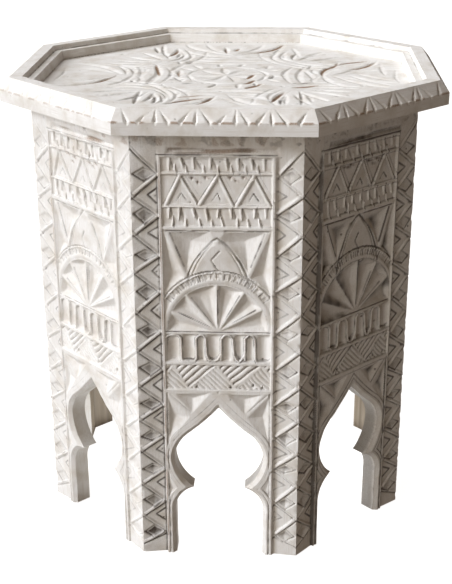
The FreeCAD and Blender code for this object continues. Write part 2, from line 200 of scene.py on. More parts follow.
class Relief:
    """Depth carved into one flat face, kept for many of its points at once.

    Attributes:
        x, y: Places on the face in mm.
        ground: Depth of the uncarved surface in mm.
        depth: Depth carved below the ground in mm.
        stain_and_shade: Dirt that has settled and shade painted into the cuts, 0 to 1.
        bare: Paint rubbed off, 0 to 1.
    """

    def __init__(self, x: Array, y: Array, seed: int) -> None:
        """Starts a face that isn't carved yet.

        Args:
            x, y: Places on the face in mm.
            seed: Picks the slips of the hand that carves it.
        """
        self.x, self.y = x, y
        self.seed = seed
        self.ground, self.depth, self.stain_and_shade, self.bare = (np.zeros(len(x)) for _ in range(4))
        self.random = np.random.default_rng(seed)

    def even(self, low: float, high: float) -> float:
        """Draws a number anywhere from low to high."""
        return float(self.random.uniform(low, high))

    def sway(self, amount: float) -> float:
        """Draws a number that strays from 0 by about the amount."""
        return float(self.random.normal(0, amount))

    def slip(self, x: float, y: float, amount: float = 0.5) -> Point:
        """Moves a point a little, as a hand-held chisel does."""
        aside, up = np.clip(self.random.normal(0, amount, 2), -2 * amount, 2 * amount)
        return x + float(aside), y + float(up)

    def drawn(self, loose: float, way: int, corners: Sequence[Point]) -> list[Point]:
        """Slips each corner of an outline, which is mirrored where way is -1."""
        return [self.slip(way * x, y, loose) for x, y in corners]

    def cut(self, places: Array, depth: Array | float) -> None:
        """Makes places at least so deep."""
        self.depth[places] = np.maximum(self.depth[places], depth)

    def darken(self, places: Array, stain_and_shade: Array | float) -> None:
        """Makes places at least so dark with dirt and painted shade."""
        self.stain_and_shade[places] = np.maximum(self.stain_and_shade[places], stain_and_shade)

    def rub(self, places: Array, bare: Array | float) -> None:
        """Makes places at least so bare."""
        self.bare[places] = np.maximum(self.bare[places], bare)

    def measured(self, path: Sequence[Point], reach: float) -> tuple[Array, Array, Array, Array]:
        """Finds the points close to a path, and on which side of it they are.

        Args:
            path: Points joined by straight runs.
            reach: Greatest distance in mm.

        Returns:
            The points' numbers, their distances, how far along the path each is, 0 to 1, and 1 left of the
            path or -1 right of it.
        """
        low, high = np.min(path, axis=0) - reach, np.max(path, axis=0) + reach
        places = np.nonzero((self.x > low[0]) & (self.x < high[0]) & (self.y > low[1]) & (self.y < high[1]))[0]
        x, y = self.x[places], self.y[places]
        gap, share, side, done = np.full(len(places), np.inf), np.zeros(len(places)), np.ones(len(places)), 0.0
        for (ax, ay), (bx, by) in zip(path, path[1:]):
            run = math.hypot(bx - ax, by - ay)
            along = np.clip(((x - ax) * (bx - ax) + (y - ay) * (by - ay)) / run ** 2, 0, 1)
            away = np.hypot(x - ax - along * (bx - ax), y - ay - along * (by - ay))
            closer = away < gap
            gap[closer] = away[closer]
            share[closer] = done + along[closer] * run
            side[closer] = np.sign((bx - ax) * (y - ay) - (by - ay) * (x - ax))[closer]
            done += run
        keep = gap < reach
        return places[keep], gap[keep], share[keep] / done, side[keep]

    def near(self, path: Sequence[Point], reach: float) -> tuple[Array, Array, Array]:
        """Finds the points close to a path: their numbers, distances and shares of the way along it."""
        return self.measured(path, reach)[:3]

    def groove(self, path: Sequence[Point], width: float, depth: float,
               ends: Point = (1.0, 1.0), stain_and_shade: float = 0.0) -> None:
        """Cuts a V along a path.

        Args:
            path: Its line.
            width, depth: Its size in mm.
            ends: Share of that size at the two ends.
            stain_and_shade: Dirt and painted shade at its bottom, 0 to 1.
        """
        places, gap, share = self.near(path, width / 2)
        size = ends[0] + (ends[1] - ends[0]) * share
        cut = size - gap * 2 / width
        self.cut(places, depth * cut)
        self.darken(places, stain_and_shade * np.clip(cut * 1.6, 0, 1))

    def rib(self, path: Sequence[Point], width: float, top: float = 0.0, slope: float = 1.6,
            ends: Point = (1.0, 1.0), reach: float = 5.0, stain_and_shade: float = 0.0, crown: float = 0.0) -> None:
        """Leaves a raised line standing in what is carved around it.

        Args:
            path: Its line.
            width: Its width in mm.
            top: Its depth below the ground in mm.
            slope: Fall of its sides.
            ends: Share of its width at the two ends.
            reach: How far its sides are followed in mm.
            stain_and_shade: Dirt and painted shade along its foot, 0 to 1.
            crown: How much it is rounded in mm.
        """
        places, gap, share = self.near(path, reach)
        half = width / 2 * (ends[0] + (ends[1] - ends[0]) * share)
        rounding = crown * np.minimum(gap / np.maximum(half, 0.1), 1) ** 2
        self.depth[places] = np.minimum(self.depth[places], top + rounding + slope * np.maximum(0, gap - half))
        if stain_and_shade:
            low = ramp(self.depth[places], top + 0.3, top + 1.0)
            self.darken(places, stain_and_shade * lane(gap - half - 0.9, 0.9) * low)

    def leaf(self, path: Sequence[Point], left: float, right: float, depth: float,
             stain_and_shade: float = 0.0, bare: float = 0.0) -> None:
        """Cuts a hollow that is pointed at both ends, with a face on each side of its deepest line.

        Args:
            path: Its deepest line.
            left, right: Width of each face in mm, seen along the path.
            depth: Its depth in mm.
            stain_and_shade: Dirt and painted shade along its line, 0 to 1.
            bare: Paint rubbed off beside its line, 0 to 1.
        """
        places, gap, share, side = self.measured(path, max(left, right))
        swell = np.sin(math.pi * np.clip(share, 0.03, 0.97)) ** 0.6
        half = np.where(side > 0, left, right) * swell
        cut = np.clip(1 - gap / half, 0, 1)
        self.cut(places, depth * swell * (0.65 * cut + 0.35 * np.sin(cut * math.pi / 2)))
        self.darken(places, stain_and_shade * swell * np.clip(1.4 - gap / 1.6, 0, 1))
        self.rub(places, bare * swell * np.clip(1.4 - gap / 2.2, 0, 1))

    def margin(self, corners: Sequence[Point], curves: dict[int, Curve] | None) -> tuple[Array, Array, list]:
        """Measures how deep points lie inside an outline.

        Args:
            corners: Corners of the outline.
            curves: Round sides, by the number of the side.

        Returns:
            The points near the outline, a row of margins per side, and a function per side for other points.
        """
        low, high = np.min(corners, axis=0) - 1, np.max(corners, axis=0) + 1
        places = np.nonzero((self.x > low[0]) & (self.x < high[0]) & (self.y > low[1]) & (self.y < high[1]))[0]
        closed = list(corners) + [corners[0]]
        turning = math.copysign(1, sum(a[0] * b[1] - b[0] * a[1] for a, b in zip(closed, closed[1:])))
        sides: list[Callable[[Array, Array], Array]] = []
        for number, (start, end) in enumerate(zip(closed, closed[1:])):
            curve = (curves or {}).get(number)
            if curve:
                way = 1 if curve.inside else -1
                sides.append(lambda x, y, c=curve, w=way: w * (c.radius - np.hypot(x - c.centre[0], y - c.centre[1])))
            else:
                run = math.hypot(end[0] - start[0], end[1] - start[1])
                across = (-(end[1] - start[1]) / run * turning, (end[0] - start[0]) / run * turning)
                sides.append(lambda x, y, s=start, n=across: (x - s[0]) * n[0] + (y - s[1]) * n[1])
        return places, np.array([side(self.x[places], self.y[places]) for side in sides]), sides

    def pit(self, corners: Sequence[Point], floor: Point, depth: float,
            curves: dict[int, Curve] | None = None, scoop: float = 0.35, stain_and_shade: float = 0.0) -> None:
        """Cuts a chip whose faces run from its outline down to one floor point.

        Args:
            corners: Corners of the outline, convex.
            floor: Where it is deepest.
            depth: Its depth there in mm.
            curves: Round sides, by the number of the side.
            scoop: How hollow its faces are, 0 for flat.
            stain_and_shade: Dirt and painted shade at its floor, 0 to 1.
        """
        places, margins, sides = self.margin(corners, curves)
        whole = np.array([max(float(side(np.float64(floor[0]), np.float64(floor[1]))), 0.3) for side in sides])
        share = np.clip((margins / whole[:, None]).min(axis=0), 0, 1)
        cut = share * (1 - scoop) + np.sin(share * math.pi / 2) * scoop
        self.cut(places, depth * cut)
        if stain_and_shade:
            self.darken(places, stain_and_shade * ramp(share, 0.3, 1))

    def sink(self, corners: Sequence[Point], depth: float, slope: float = 2.0,
             curves: dict[int, Curve] | None = None) -> None:
        """Lowers an area to a flat floor with steep sides."""
        places, margins, _ = self.margin(corners, curves)
        cut = np.clip(slope * margins.min(axis=0), 0, depth)
        self.cut(places, cut)

    def pock(self, places: Sequence[Point], width: float, depth: float, stain_and_shade: float = 0.8) -> None:
        """Presses small round dents."""
        for x, y in places:
            near, gap, _ = self.near([(x - 0.1, y), (x + 0.1, y)], width / 2)
            cut = 1 - (gap * 2 / width) ** 2
            self.depth[near] += depth * cut
            self.darken(near, stain_and_shade * cut)

    def total(self) -> Array:
        """Gives the whole depth below the face, with the chisel's uneven floor."""
        uneven = (mottle(self.x, self.y, 5, self.seed + 11) - 0.5) * 0.35
        uneven += (mottle(self.x, self.y, 2.2, self.seed + 12) - 0.5) * 0.2
        return np.maximum(self.ground + self.depth + uneven * ramp(self.depth, 0.2, 2), 0)


def wear_and_shade_marks(carve: Callable[[Relief], None], x: Array, y: Array, seed: int,
               reach: tuple[float, float, float, float]) -> tuple[Array, Marks]:
    """Carves a face and finds where its paint wears, where dirt settles and where shade is painted into creases and
    hollows.

    Args:
        carve: Carves a relief.
        x, y: The mesh's places on the face in mm.
        seed: The carver's hand.
        reach: Left, right, bottom and top of the face in mm.

    Returns:
        Depth of each place, and its marks from 0 to 1: worn paint, and dirt with painted shade.
    """
    # A grid of one place each mm, on which edges and hollows are told by blurring
    columns, rows = np.arange(reach[0], reach[1] + 1), np.arange(reach[2], reach[3] + 1)
    grid_x, grid_y = (grid.ravel() for grid in np.meshgrid(columns, rows))
    relief = Relief(np.concatenate((x, grid_x)), np.concatenate((y, grid_y)), seed)
    carve(relief)
    depth = relief.total()
    height = -depth[len(x):].reshape(len(rows), len(columns))
    close = height - blurred(blurred(height, 1), 2)
    broad = height - blurred(blurred(height, 5), 5)
    column, row = np.clip(x - reach[0], 0, len(columns) - 1.001), np.clip(y - reach[2], 0, len(rows) - 1.001)
    left, low = column.astype(int), row.astype(int)
    aside, up = column - left, row - low

    def sampled(picture: Array) -> Array:
        """Reads a grid between its cells."""
        bottom = picture[low, left] * (1 - aside) + picture[low, left + 1] * aside
        top = picture[low + 1, left] * (1 - aside) + picture[low + 1, left + 1] * aside
        return bottom * (1 - up) + top * up

    close, broad = sampled(close), sampled(broad)
    edges, creases, hollows = ramp(close, 0.25, 1.1), ramp(-close, 0.25, 1.4), ramp(-broad, 1.0, 6.0)
    spotty = 0.35 + 0.95 * mottle(x, y, 6, seed + 21)
    worn = edges * 0.45 + relief.bare[:len(x)]
    # Painted shade in creases and broad hollows, added to the dirt that has settled
    dirty = creases * 0.4 + hollows * 0.1 + relief.stain_and_shade[:len(x)] * spotty
    return depth[:len(x)], {"worn": np.clip(worn, 0, 1), "dirty": np.clip(dirty, 0, 1)}


def meshed(bm: bmesh.types.BMesh, name: str) -> bpy.types.Mesh:
    """Turns an edited mesh into a named one and frees it."""
    mesh = bpy.data.meshes.new(name)
    bm.to_mesh(mesh)
    bm.free()
    return mesh


def linked(name: str, data: bpy.types.ID) -> bpy.types.Object:
    """Makes an object of a mesh, a lamp or a camera and puts it in the scene."""
    made = bpy.data.objects.new(name, data)
    bpy.context.scene.collection.objects.link(made)
    return made


def finished(bm: bmesh.types.BMesh, name: str, place: Callable[[Array], tuple[Array, Marks]],
             crease: float = 38.0) -> bpy.types.Object:
    """Moves a flat sheet's vertices to their real places and makes the piece.

    Args:
        bm: The sheet, in its own flat measure.
        name: Name of the piece.
        place: Turns the sheet's places into real ones in mm, with the marks of each vertex.
        crease: Angle in degrees past which an edge is sharp.

    Returns:
        The piece.
    """
    mesh = meshed(bm, name)
    flat = np.empty(len(mesh.vertices) * 3)
    mesh.vertices.foreach_get("co", flat)
    spots, marks = place(flat.reshape(-1, 3))
    mesh.vertices.foreach_set("co", (spots * MM).ravel())
    for mark, values in marks.items():
        vector = values.ndim == 2
        layer = mesh.attributes.new(mark, "FLOAT_VECTOR" if vector else "FLOAT", "POINT")
        layer.data.foreach_set("vector" if vector else "value", values.astype(np.float32).ravel())
    closed = bmesh.new()
    closed.from_mesh(mesh)
    bmesh.ops.remove_doubles(closed, verts=closed.verts, dist=0.02 * MM)
    bmesh.ops.recalc_face_normals(closed, faces=closed.faces)
    closed.to_mesh(mesh)
    closed.free()
    mesh.shade_smooth()
    mesh.set_sharp_from_angle(angle=math.radians(crease))
    return linked(name, mesh)


def turned(spots: Array, index: int) -> Array:
    """Turns places on the front side round to another side of the table."""
    angle = index * 2 * math.pi / SIDES
    x = spots[:, 0] * math.cos(angle) - spots[:, 1] * math.sin(angle)
    y = spots[:, 0] * math.sin(angle) + spots[:, 1] * math.cos(angle)
    return np.stack((x, y, spots[:, 2]), axis=1)


def closed_back(bm: bmesh.types.BMesh, levels: int) -> None:
    """Carries the open edge of a sheet back in steps and closes it there with a face of the second finish."""
    rim = [edge for edge in bm.edges if edge.is_boundary]
    for level in range(1, levels + 1):
        made = bmesh.ops.extrude_edge_only(bm, edges=rim)["geom"]
        for part in made:
            if isinstance(part, bmesh.types.BMVert):
                part.co.z = -level
        rim = [part for part in made if isinstance(part, bmesh.types.BMEdge) and part.is_boundary]
    for face in bmesh.ops.edgeloop_fill(bm, edges=rim)["faces"]:
        face.material_index = 1


class Hand(Enum):
    """Side of a board's middle line."""
    LEFT = -1
    RIGHT = 1


@dataclass(frozen=True)
class Comb:
    """A band of wedge-shaped teeth.

    Attributes:
        top, bottom: Its edges, in mm up the board.
        hanging, standing: Lengths of the teeth from its top and from its bottom in mm.
        down, up: Where those teeth are, in mm across the board.
    """
    top: float
    bottom: float
    hanging: float
    standing: float
    down: tuple[float, ...]
    up: tuple[float, ...]


@dataclass(frozen=True)
class Hollow:
    """A hollow on the right of a board's middle, which has its mirror image on the left.

    Attributes:
        corners: Corners of its outline.
        floor: Where it is deepest.
        depth: Its depth there in mm.
        loose: How far the hand slips.
        scoop: How hollow its faces are.
    """
    corners: tuple[Point, ...]
    floor: Point
    depth: float
    loose: float = 0.4
    scoop: float = 0.3

    def cut(self, relief: Relief, hand: Hand, stain_and_shade: float, curves: dict[int, Curve] | None = None) -> None:
        """Cuts it on one side of the middle line."""
        outline = relief.drawn(self.loose, hand.value, self.corners)
        relief.pit(outline, (hand.value * self.floor[0], self.floor[1]), self.depth, curves, self.scoop, stain_and_shade)


@dataclass(frozen=True)
class StripWork:
    """The manner in which one strip of a board is carved.

    Attributes:
        way: -1 for the left strip, 1 for the right one.
        loose: How far the hand slips in mm.
        dark: Share of the full dirt and painted shade in its cuts.
        strong: Share of the pattern's full depth.
        reach: How far its chevrons point outward in mm.
        chevron_depth: Their full depth in mm.
    """
    way: int
    loose: float
    dark: float
    strong: float
    reach: float
    chevron_depth: float


@dataclass
class SideBoard:
    """One leg-and-panel board: a cusped arch, bands of chip carving over it, a strip down each edge."""
    index: int
    side: Side
    apothem: float = 201.0
    thickness: float = 21.0
    height: float = 476.0
    strip_inner: float = 57.2
    fillet_outer: float = 56.2
    field_half: float = 53.8
    field_depth: float = 1.3
    field_top: float = 447.4
    field_foot: float = 197.8
    strip_top: float = 457.0
    strip_full: float = 436.0
    lit_share: float = 0.72
    arch: tuple[Point, ...] = ((46.8, 52.0), (27.3, 82.0), (46.8, 121.0), (30.0, 149.0), (0.0, 178.0))
    arch_bulges: tuple[float, ...] = (6.5, 5.2, 3.5, -0.8)
    arch_bevel: float = 4.0
    arch_shoulder: float = 190.0
    arch_channel: float = 6.6
    arch_band: float = 9.6
    ring_centre: Point = (0.0, 267.0)
    ring_width: float = 12.5
    head_hollow: tuple[Point, ...] = ((-50, 449.2), (61, 449.2), (60, 458), (-48, 458))
    combs: tuple[Comb, ...] = (
        Comb(446.4, 431.0, 10.5, 7.5, (-46, -34, -22, -6, 9, 20, 33, 45), (-40, -28, -12, 1, 14, 28, 40)),
        Comb(397.5, 377.5, 11.0, 8.5, (-47, -37, -23, -11, 1, 13, 23, 37, 47), (-44, -31, -17, -5, 6, 20, 31, 42)))
    comb_lines: tuple[Point, ...] = ((431.0, 2.0), (398.4, 2.0), (375.8, 3.6))
    triangle_band: Point = (400.0, 429.8)
    triangles: tuple[tuple[float, float, float], ...] = ((-35.5, -50, -19), (1.2, -16, 16), (35.0, 20, 51.5))
    chip_groups: Point = (-17.5, 18.5)
    dome_foot: float = 316.0
    dome_shape: tuple[Point, ...] = ((31.0, 0.0), (30.0, 0.093), (27.6, 0.272), (22.8, 0.507), (15.6, 0.72),
                                     (5.0, 0.933), (0.0, 1.0))
    over_dome: Hollow = Hollow(((48.2, 372.8), (7.5, 372.8), (3.6, 365.5), (32.2, 330.5)), (26.5, 360.5), 6.4,
                               scoop=0.5)
    beside_dome: Hollow = Hollow(((52.8, 373.5), (31.0, 322.0), (53.2, 303.0)), (45.0, 326.0), 5.6, scoop=0.4)
    ring_turns: Point = (36.0, 146.0)
    fan_foot: float = 265.6
    fan_half: float = 52.6
    fan_ridges: tuple[float, ...] = (29, 57.6, 90, 128, 153)
    arcade_band: Point = (231.5, 262.5)
    arcade_walls: tuple[float, ...] = (-37.5, -24.5, -11.5, 2.0, 14.5, 26.5, 38.5)
    hatch_band: Point = (200.2, 228.6)
    over_arch: Hollow = Hollow(((46.0, 196.2), (8.5, 196.2), (27.0, 173.0)), (27.0, 188.5), 4.4)
    beside_arch: Hollow = Hollow(((53.2, 194.5), (29.5, 168.0), (42.0, 152.0), (53.2, 137.0)), (46.0, 168.0), 4.4)
    beside_cusp: Hollow = Hollow(((44.0, 82.0), (53.6, 63.0), (53.6, 102.0)), (50.5, 82.0), 1.7, 0.5, 0.35)
    panel_apexes: tuple[float, ...] = (430, 388, 348, 307, 264, 222, 182, 144, 105, 64, 25)
    corner_apexes: tuple[float, ...] = (456, 409.5, 369, 329, 287, 244, 204, 165, 126, 86, 47, 12)
    # Dirt and painted shade on the cut edges of the board's right half, which show in the arch
    reveal_shade_and_dirt: float = 0.42
    dents: int = 46
    columns: int = 92
    strip_columns: int = 33
    levels: int = 4

    @property
    def half(self) -> float:
        """Half the width of the face."""
        return self.apothem * MITRE

    @property
    def ring_inner(self) -> float:
        """Radius of the ring's inner edge."""
        return self.side.ring_outer - self.ring_width

    @property
    def shade_and_grime_side(self) -> bool:
        """Says whether the board is one of those painted darker all over with dirt and shade."""
        return self.side.grime_and_shade >= 0.1

    @property
    def hollow_shade_and_dirt(self) -> float:
        """Painted shade, with some dirt, in the large hollows of the boards turned from the light."""
        return min(self.side.grime_and_shade * 2.5, 0.5)

    @property
    def ridge_dirt_and_shade(self) -> float:
        """Dirt and painted shade along the thin walls and ridges, less where the hollows carry painted shade."""
        return 0.95 - self.hollow_shade_and_dirt

    def arch_half(self, height: Array) -> Array:
        """Gives half the arch's width at each height in mm, 0 above its point."""
        width = np.where(height < self.arch[0][1], self.arch[0][0], 0.0)
        for start, end, bulge in zip(self.arch, self.arch[1:], self.arch_bulges):
            chord = np.subtract(end, start)
            length = float(np.hypot(*chord))
            side = np.array((chord[1], -chord[0])) / length
            radius = (length ** 2 / 4 + bulge ** 2) / (2 * abs(bulge))
            centre = np.add(start, end) / 2 + side * (bulge - math.copysign(radius, bulge))
            on = (height >= start[1]) & (height <= end[1])
            reach = np.sqrt(np.maximum(radius ** 2 - (height[on] - centre[1]) ** 2, 0))
            width[on] = centre[0] + math.copysign(1, bulge) * reach
        return width

    def carve(self, relief: Relief) -> None:
        """Carves the whole face."""
        across = np.abs(relief.x)
        lit = relief.x > 0
        places = (0, self.field_half - 0.3, self.field_half + 0.5, self.fillet_outer)
        depths = (self.field_depth, self.field_depth, 0, 0)
        steep = np.interp(across, (*places, self.strip_inner, self.half), (*depths, self.side.strip_depth, 0))
        gentle = np.interp(across, (*places, self.strip_inner + self.side.ledge, self.half),
                           (*depths, self.side.strip_depth * self.lit_share, 0))
        strip = ramp(-relief.y, -self.strip_top, -self.strip_full)
        panel = ramp(-relief.y, -self.field_top - 1.2, -self.field_top)
        panel = panel * ramp(relief.y, self.field_foot - 1.2, self.field_foot)
        relief.ground = np.where(lit, gentle, steep) * np.where(across > self.fillet_outer, strip, panel)
        # Dirt and painted shade in a band inside each strip, much darker on the left, where the strip is turned from
        # the light
        relief.stain_and_shade = np.where(lit, 0.08, 0.42) * lane(across - self.strip_inner - 0.9, 1.3, 1.4) * strip
        # Bare wood on the fillet: wear, heavier on the left, where it also paints shade
        rubbed = ramp(mottle(relief.y, relief.x * 0, 16, relief.seed + 8), 0.35, 0.8) * np.where(lit, 0.15, 0.4)
        fillet = lane(across - self.fillet_outer + 0.4, 1.0, 1.3) * strip
        relief.bare = rubbed * fillet * (not self.shade_and_grime_side)
        # Dirt and painted shade at the foot of the strip's wall, on the boards painted darker all over
        wall = lane(across - self.strip_inner + 0.3, 0.8, 1.5) * strip
        relief.darken(..., min(self.side.grime_and_shade * 4.5, 0.9) * wall)
        beside = (np.abs(across - self.field_half + 0.8) < 0.9) & (relief.y < self.field_foot - 0.3)
        relief.depth[beside], relief.stain_and_shade[beside] = 0.9, 0.55
        for part in (self.carve_head, self.carve_combs, self.carve_triangles, self.carve_dome, self.carve_ring,
                     self.carve_fan, self.carve_arcade, self.carve_hatch, self.carve_spandrels):
            part(relief)
        for hand in Hand:
            self.carve_strip(relief, hand)
        self.carve_arch_edge(relief)
        self.wear(relief)

    def line(self, relief: Relief, height: float, width: float = 2.4, half: float = 54.0, top: float = -0.9) -> None:
        """Leaves one level raised line across the panel."""
        path = [relief.slip(x, height, 0.35) for x in np.linspace(-half, half, 7)]
        path[0], path[-1] = (-half - 1, path[0][1]), (half + 1, path[-1][1])
        relief.rib(path, width, top=top, slope=1.8, stain_and_shade=0.4)

    def sink_band(self, relief: Relief, band: Point, depth: float, slope: float = 1.6, half: float = 53.5) -> None:
        """Lowers a level band right across the panel, from its lower edge to its upper one."""
        relief.sink([(-half, band[0]), (half, band[0]), (half, band[1]), (-half, band[1])], depth, slope)

    def carve_head(self, relief: Relief) -> None:
        """Cuts the rough hollow between the plain head and the panel's frame."""
        corners = relief.drawn(0.5, 1, self.head_hollow)
        relief.sink(corners, 1.8, 0.45)
        places, margins, _ = relief.margin(corners, None)
        inside = ramp(margins.min(axis=0), -0.5, 3.0)
        streaky = ramp(mottle(relief.x[places], relief.y[places] * 9, 26, relief.seed), 0.3, 0.8)
        relief.rub(places, inside * (0.3 + 0.5 * streaky))
        relief.darken(places, inside * (0.2 + 0.3 * streaky))
        under = [relief.slip(-58, 449.6, 0.2), relief.slip(0, 450.0, 0.3), relief.slip(58, 449.6, 0.2)]
        relief.groove(under, 1.8, 1.3, stain_and_shade=0.9)
        self.line(relief, 447.2, 1.8)
        head = ramp(relief.y, 456, 460)
        for mark, cell, strength in ((relief.bare, 11, 0.6), (relief.stain_and_shade, 6, 0.45)):
            patch = mottle(relief.x, relief.y, cell, relief.seed + 31) * 0.6
            patch += mottle(relief.x + relief.y * 0.4, relief.y, cell * 0.37, relief.seed + 32) * 0.4
            np.maximum(mark, strength * (1 - 2 * self.side.grime_and_shade) * head * ramp(patch, 0.5, 0.75), out=mark)

    def carve_combs(self, relief: Relief) -> None:
        """Cuts the two bands of wedge-shaped teeth."""
        for comb in self.combs:
            self.sink_band(relief, (comb.bottom, comb.top), 1.1)
            for first, second in zip(comb.down, comb.up):
                head = relief.slip(first + 1.6, comb.top, 0.4)
                foot = relief.slip(second - 0.4, comb.bottom + 1.5, 0.4)
                relief.leaf([head, foot], 4.6, 1.4, 2.4, stain_and_shade=0.25)
            for x in comb.down:
                head, foot = relief.slip(x, comb.top), relief.slip(x + 0.6, comb.top - comb.hanging, 0.9)
                relief.rib([head, foot], 1.9, top=-0.5, slope=2.0, ends=(1, 0.3), reach=2.6)
                relief.groove(moved((head, foot), (1.9, 0), (1.2, 1)), 1.9, 1.9, ends=(1, 0.4), stain_and_shade=0.75)
            for x in comb.up:
                foot, head = relief.slip(x, comb.bottom), relief.slip(x - 0.6, comb.bottom + comb.standing, 0.9)
                relief.rib([foot, head], 1.4, top=-0.4, slope=2.0, ends=(1, 0.3), reach=2.4)
                relief.groove(moved((foot, head), (1.6, 0), (1.1, -1)), 1.8, 1.8, ends=(1, 0.4), stain_and_shade=0.7)
        for height, width in self.comb_lines:
            self.line(relief, height, width)

    def carve_triangles(self, relief: Relief) -> None:
        """Cuts the band of three large triangles."""
        low, high = self.triangle_band
        self.sink_band(relief, self.triangle_band, 1.0)
        for apex, left, right in self.triangles:
            apex += relief.sway(1.2)
            top, one, two = relief.slip(apex, high), relief.slip(left, low), relief.slip(right, low)
            relief.rib([one, top], 3.4, top=-1.0, slope=1.7, stain_and_shade=0.25, crown=0.7)
            relief.groove(moved((one, top), (-2.4, 1), (-2.2, 0)), 1.7, 1.6, stain_and_shade=0.7)
            relief.rib([top, two], 1.8, top=-0.4, slope=1.7, stain_and_shade=0.25)
            relief.groove(moved((top, two), (2.3, -1), (2.0, 0)), 1.7, 1.6, stain_and_shade=0.7)
            relief.groove(moved((top, two), (5.4, -0.5), (5.2, 3)), 1.6, 1.2, stain_and_shade=0.4)
            middle = (one[0] + two[0]) / 2
            chip = relief.drawn(0.5, 1, ((middle - 4.5, low + 4), (middle + 0.5, low + 11), (middle + 5, low + 4.5)))
            relief.groove(chip, 2.2, 3.0, ends=(0.6, 0.9), stain_and_shade=0.8)
        for apex in self.chip_groups:
            for x, y, width in ((-5, 27, 4.5), (0.5, 24, 2.6), (5.5, 27.5, 3.6)):
                x, y = relief.slip(apex + x, low + y, 1.0)
                relief.pit([(x - width, y + 2), (x + width, y + 2.4), (x + 0.8, y - 5)], (x, y), 2.6, stain_and_shade=0.7)
                relief.leaf([(x - width - 2, y + 1), (x + width + 3, y - 1)], 2.4, 2.4, 1.0, stain_and_shade=0.3, bare=0.6)

    def dome_side(self) -> list[Point]:
        """Gives the right side of the dome from its foot to its point."""
        return [(x, self.dome_foot + self.side.dome_rise * rise) for x, rise in self.dome_shape]

    def carve_dome(self, relief: Relief) -> None:
        """Cuts the four deep hollows round the dome and its outline."""
        ring = Curve(self.ring_centre, self.side.ring_outer + 1.2, False)
        for hand in Hand:
            way = hand.value
            round_side = Curve((-way * 25.5, 258.7 + self.side.dome_rise), 57.8, False)
            # Painted shade, with some dirt, at the floors of the hollows round the dome
            self.over_dome.cut(relief, hand, self.hollow_shade_and_dirt, {2: round_side})
            self.beside_dome.cut(relief, hand, self.hollow_shade_and_dirt, {1: ring})
            relief.groove([(way * 46.5, 371.0), (way * 33.0, 336.0)], 2.6, 0.8, stain_and_shade=0.8)
            relief.groove([(way * 50.0, 373.0), (way * 30.0, 372.8), (way * 8.0, 373.2)], 2.2, 1.0, stain_and_shade=0.85)
            side = relief.drawn(0.4, way, self.dome_side())
            side[-1] = (0.0, self.dome_foot + self.side.dome_rise)
            relief.groove(side, 3.2, 1.9, stain_and_shade=0.6)
            inner = [(x * 0.87, y - 1.6) for x, y in side[:-1]]
            relief.groove(inner, 2.0, 1.0, stain_and_shade=0.3)
        crack = relief.drawn(1.5, 1, ((0, 352), (-4, 344), (0, 337), (1, 328)))
        relief.groove(crack, 2.6, 1.5, ends=(0.9, 0.5), stain_and_shade=0.95)

    def carve_ring(self, relief: Relief) -> None:
        """Cuts the notched ring over the fan."""
        x, y = relief.x - self.ring_centre[0], relief.y - self.ring_centre[1]
        radius = np.hypot(x, y)
        on = (radius > self.ring_inner - 1) & (radius < self.side.ring_outer + 2) & (y > -1) & (np.abs(relief.x) < 53)
        within = np.minimum(radius - self.ring_inner - 4.2, self.side.ring_outer - 1.9 - radius)
        cut = np.clip(within * 1.6, 0, 0.7)
        relief.depth[on] = np.where(within[on] > -4.4, cut[on], relief.depth[on])
        for edge, deep, stain_and_shade in ((self.side.ring_outer + 0.7, 1.2, 0.5), (self.ring_inner - 0.4, 0.5, 0.3)):
            rim = (np.abs(radius - edge) < 0.9) & on
            relief.darken(rim, stain_and_shade)
            relief.cut(rim, deep)
        turn, last = self.ring_turns
        while turn < last:
            start, end = self.at_angle(turn, self.ring_inner + 4.4), self.at_angle(turn, self.side.ring_outer - 1.8)
            wide = relief.even(1.3, 2.1)
            aside = (self.at_angle(turn + 90, wide)[0], self.at_angle(turn + 90, wide)[1] - self.ring_centre[1])
            other = (-aside[0], -aside[1])
            relief.sink(moved((start, end, end, start), aside, aside, other, other), 1.5, 1.6)
            for step in (other, aside):
                stain_and_shade = 0.75 if relief.random.random() < 0.6 else 0.2
                relief.groove(moved((start, end), step, step), 1.7, 1.6, stain_and_shade=stain_and_shade)
            turn += relief.even(4.8, 7.2)

    def at_angle(self, degrees: float, radius: float) -> Point:
        """Gives the place at an angle and distance from the ring's centre."""
        turn = math.radians(degrees)
        return self.ring_centre[0] + radius * math.cos(turn), self.ring_centre[1] + radius * math.sin(turn)

    def carve_fan(self, relief: Relief) -> None:
        """Cuts the six hollow rays of the fan."""
        ridges = [-3.0] + [angle + relief.sway(1.2) for angle in self.fan_ridges] + [183.0]
        x, y = relief.x, relief.y - self.fan_foot
        radius, angle = np.hypot(x, y), np.degrees(np.arctan2(y, x))
        for first, last in zip(ridges, ridges[1:]):
            on = (angle >= first) & (angle <= last)
            on &= (radius < self.ring_inner) & (y > 0) & (np.abs(x) < self.fan_half)
            share = (angle[on] - first) / (last - first)
            edge = np.minimum(share, 1 - share) * math.radians(last - first) * radius[on]
            out = np.minimum(self.ring_inner - radius[on], (self.fan_half - np.abs(x[on])) * 1.6)
            out = np.minimum(out, np.maximum(y[on], 0) * 1.5)
            valley = np.minimum(np.maximum(edge - 0.5, 0) * 0.7, 5.6 * np.sin(math.pi * share) ** 0.8)
            wall = np.clip(out * 0.9, 0, None)
            relief.cut(on, np.minimum(np.minimum(valley, wall), 0.4 + radius[on] * 0.12))
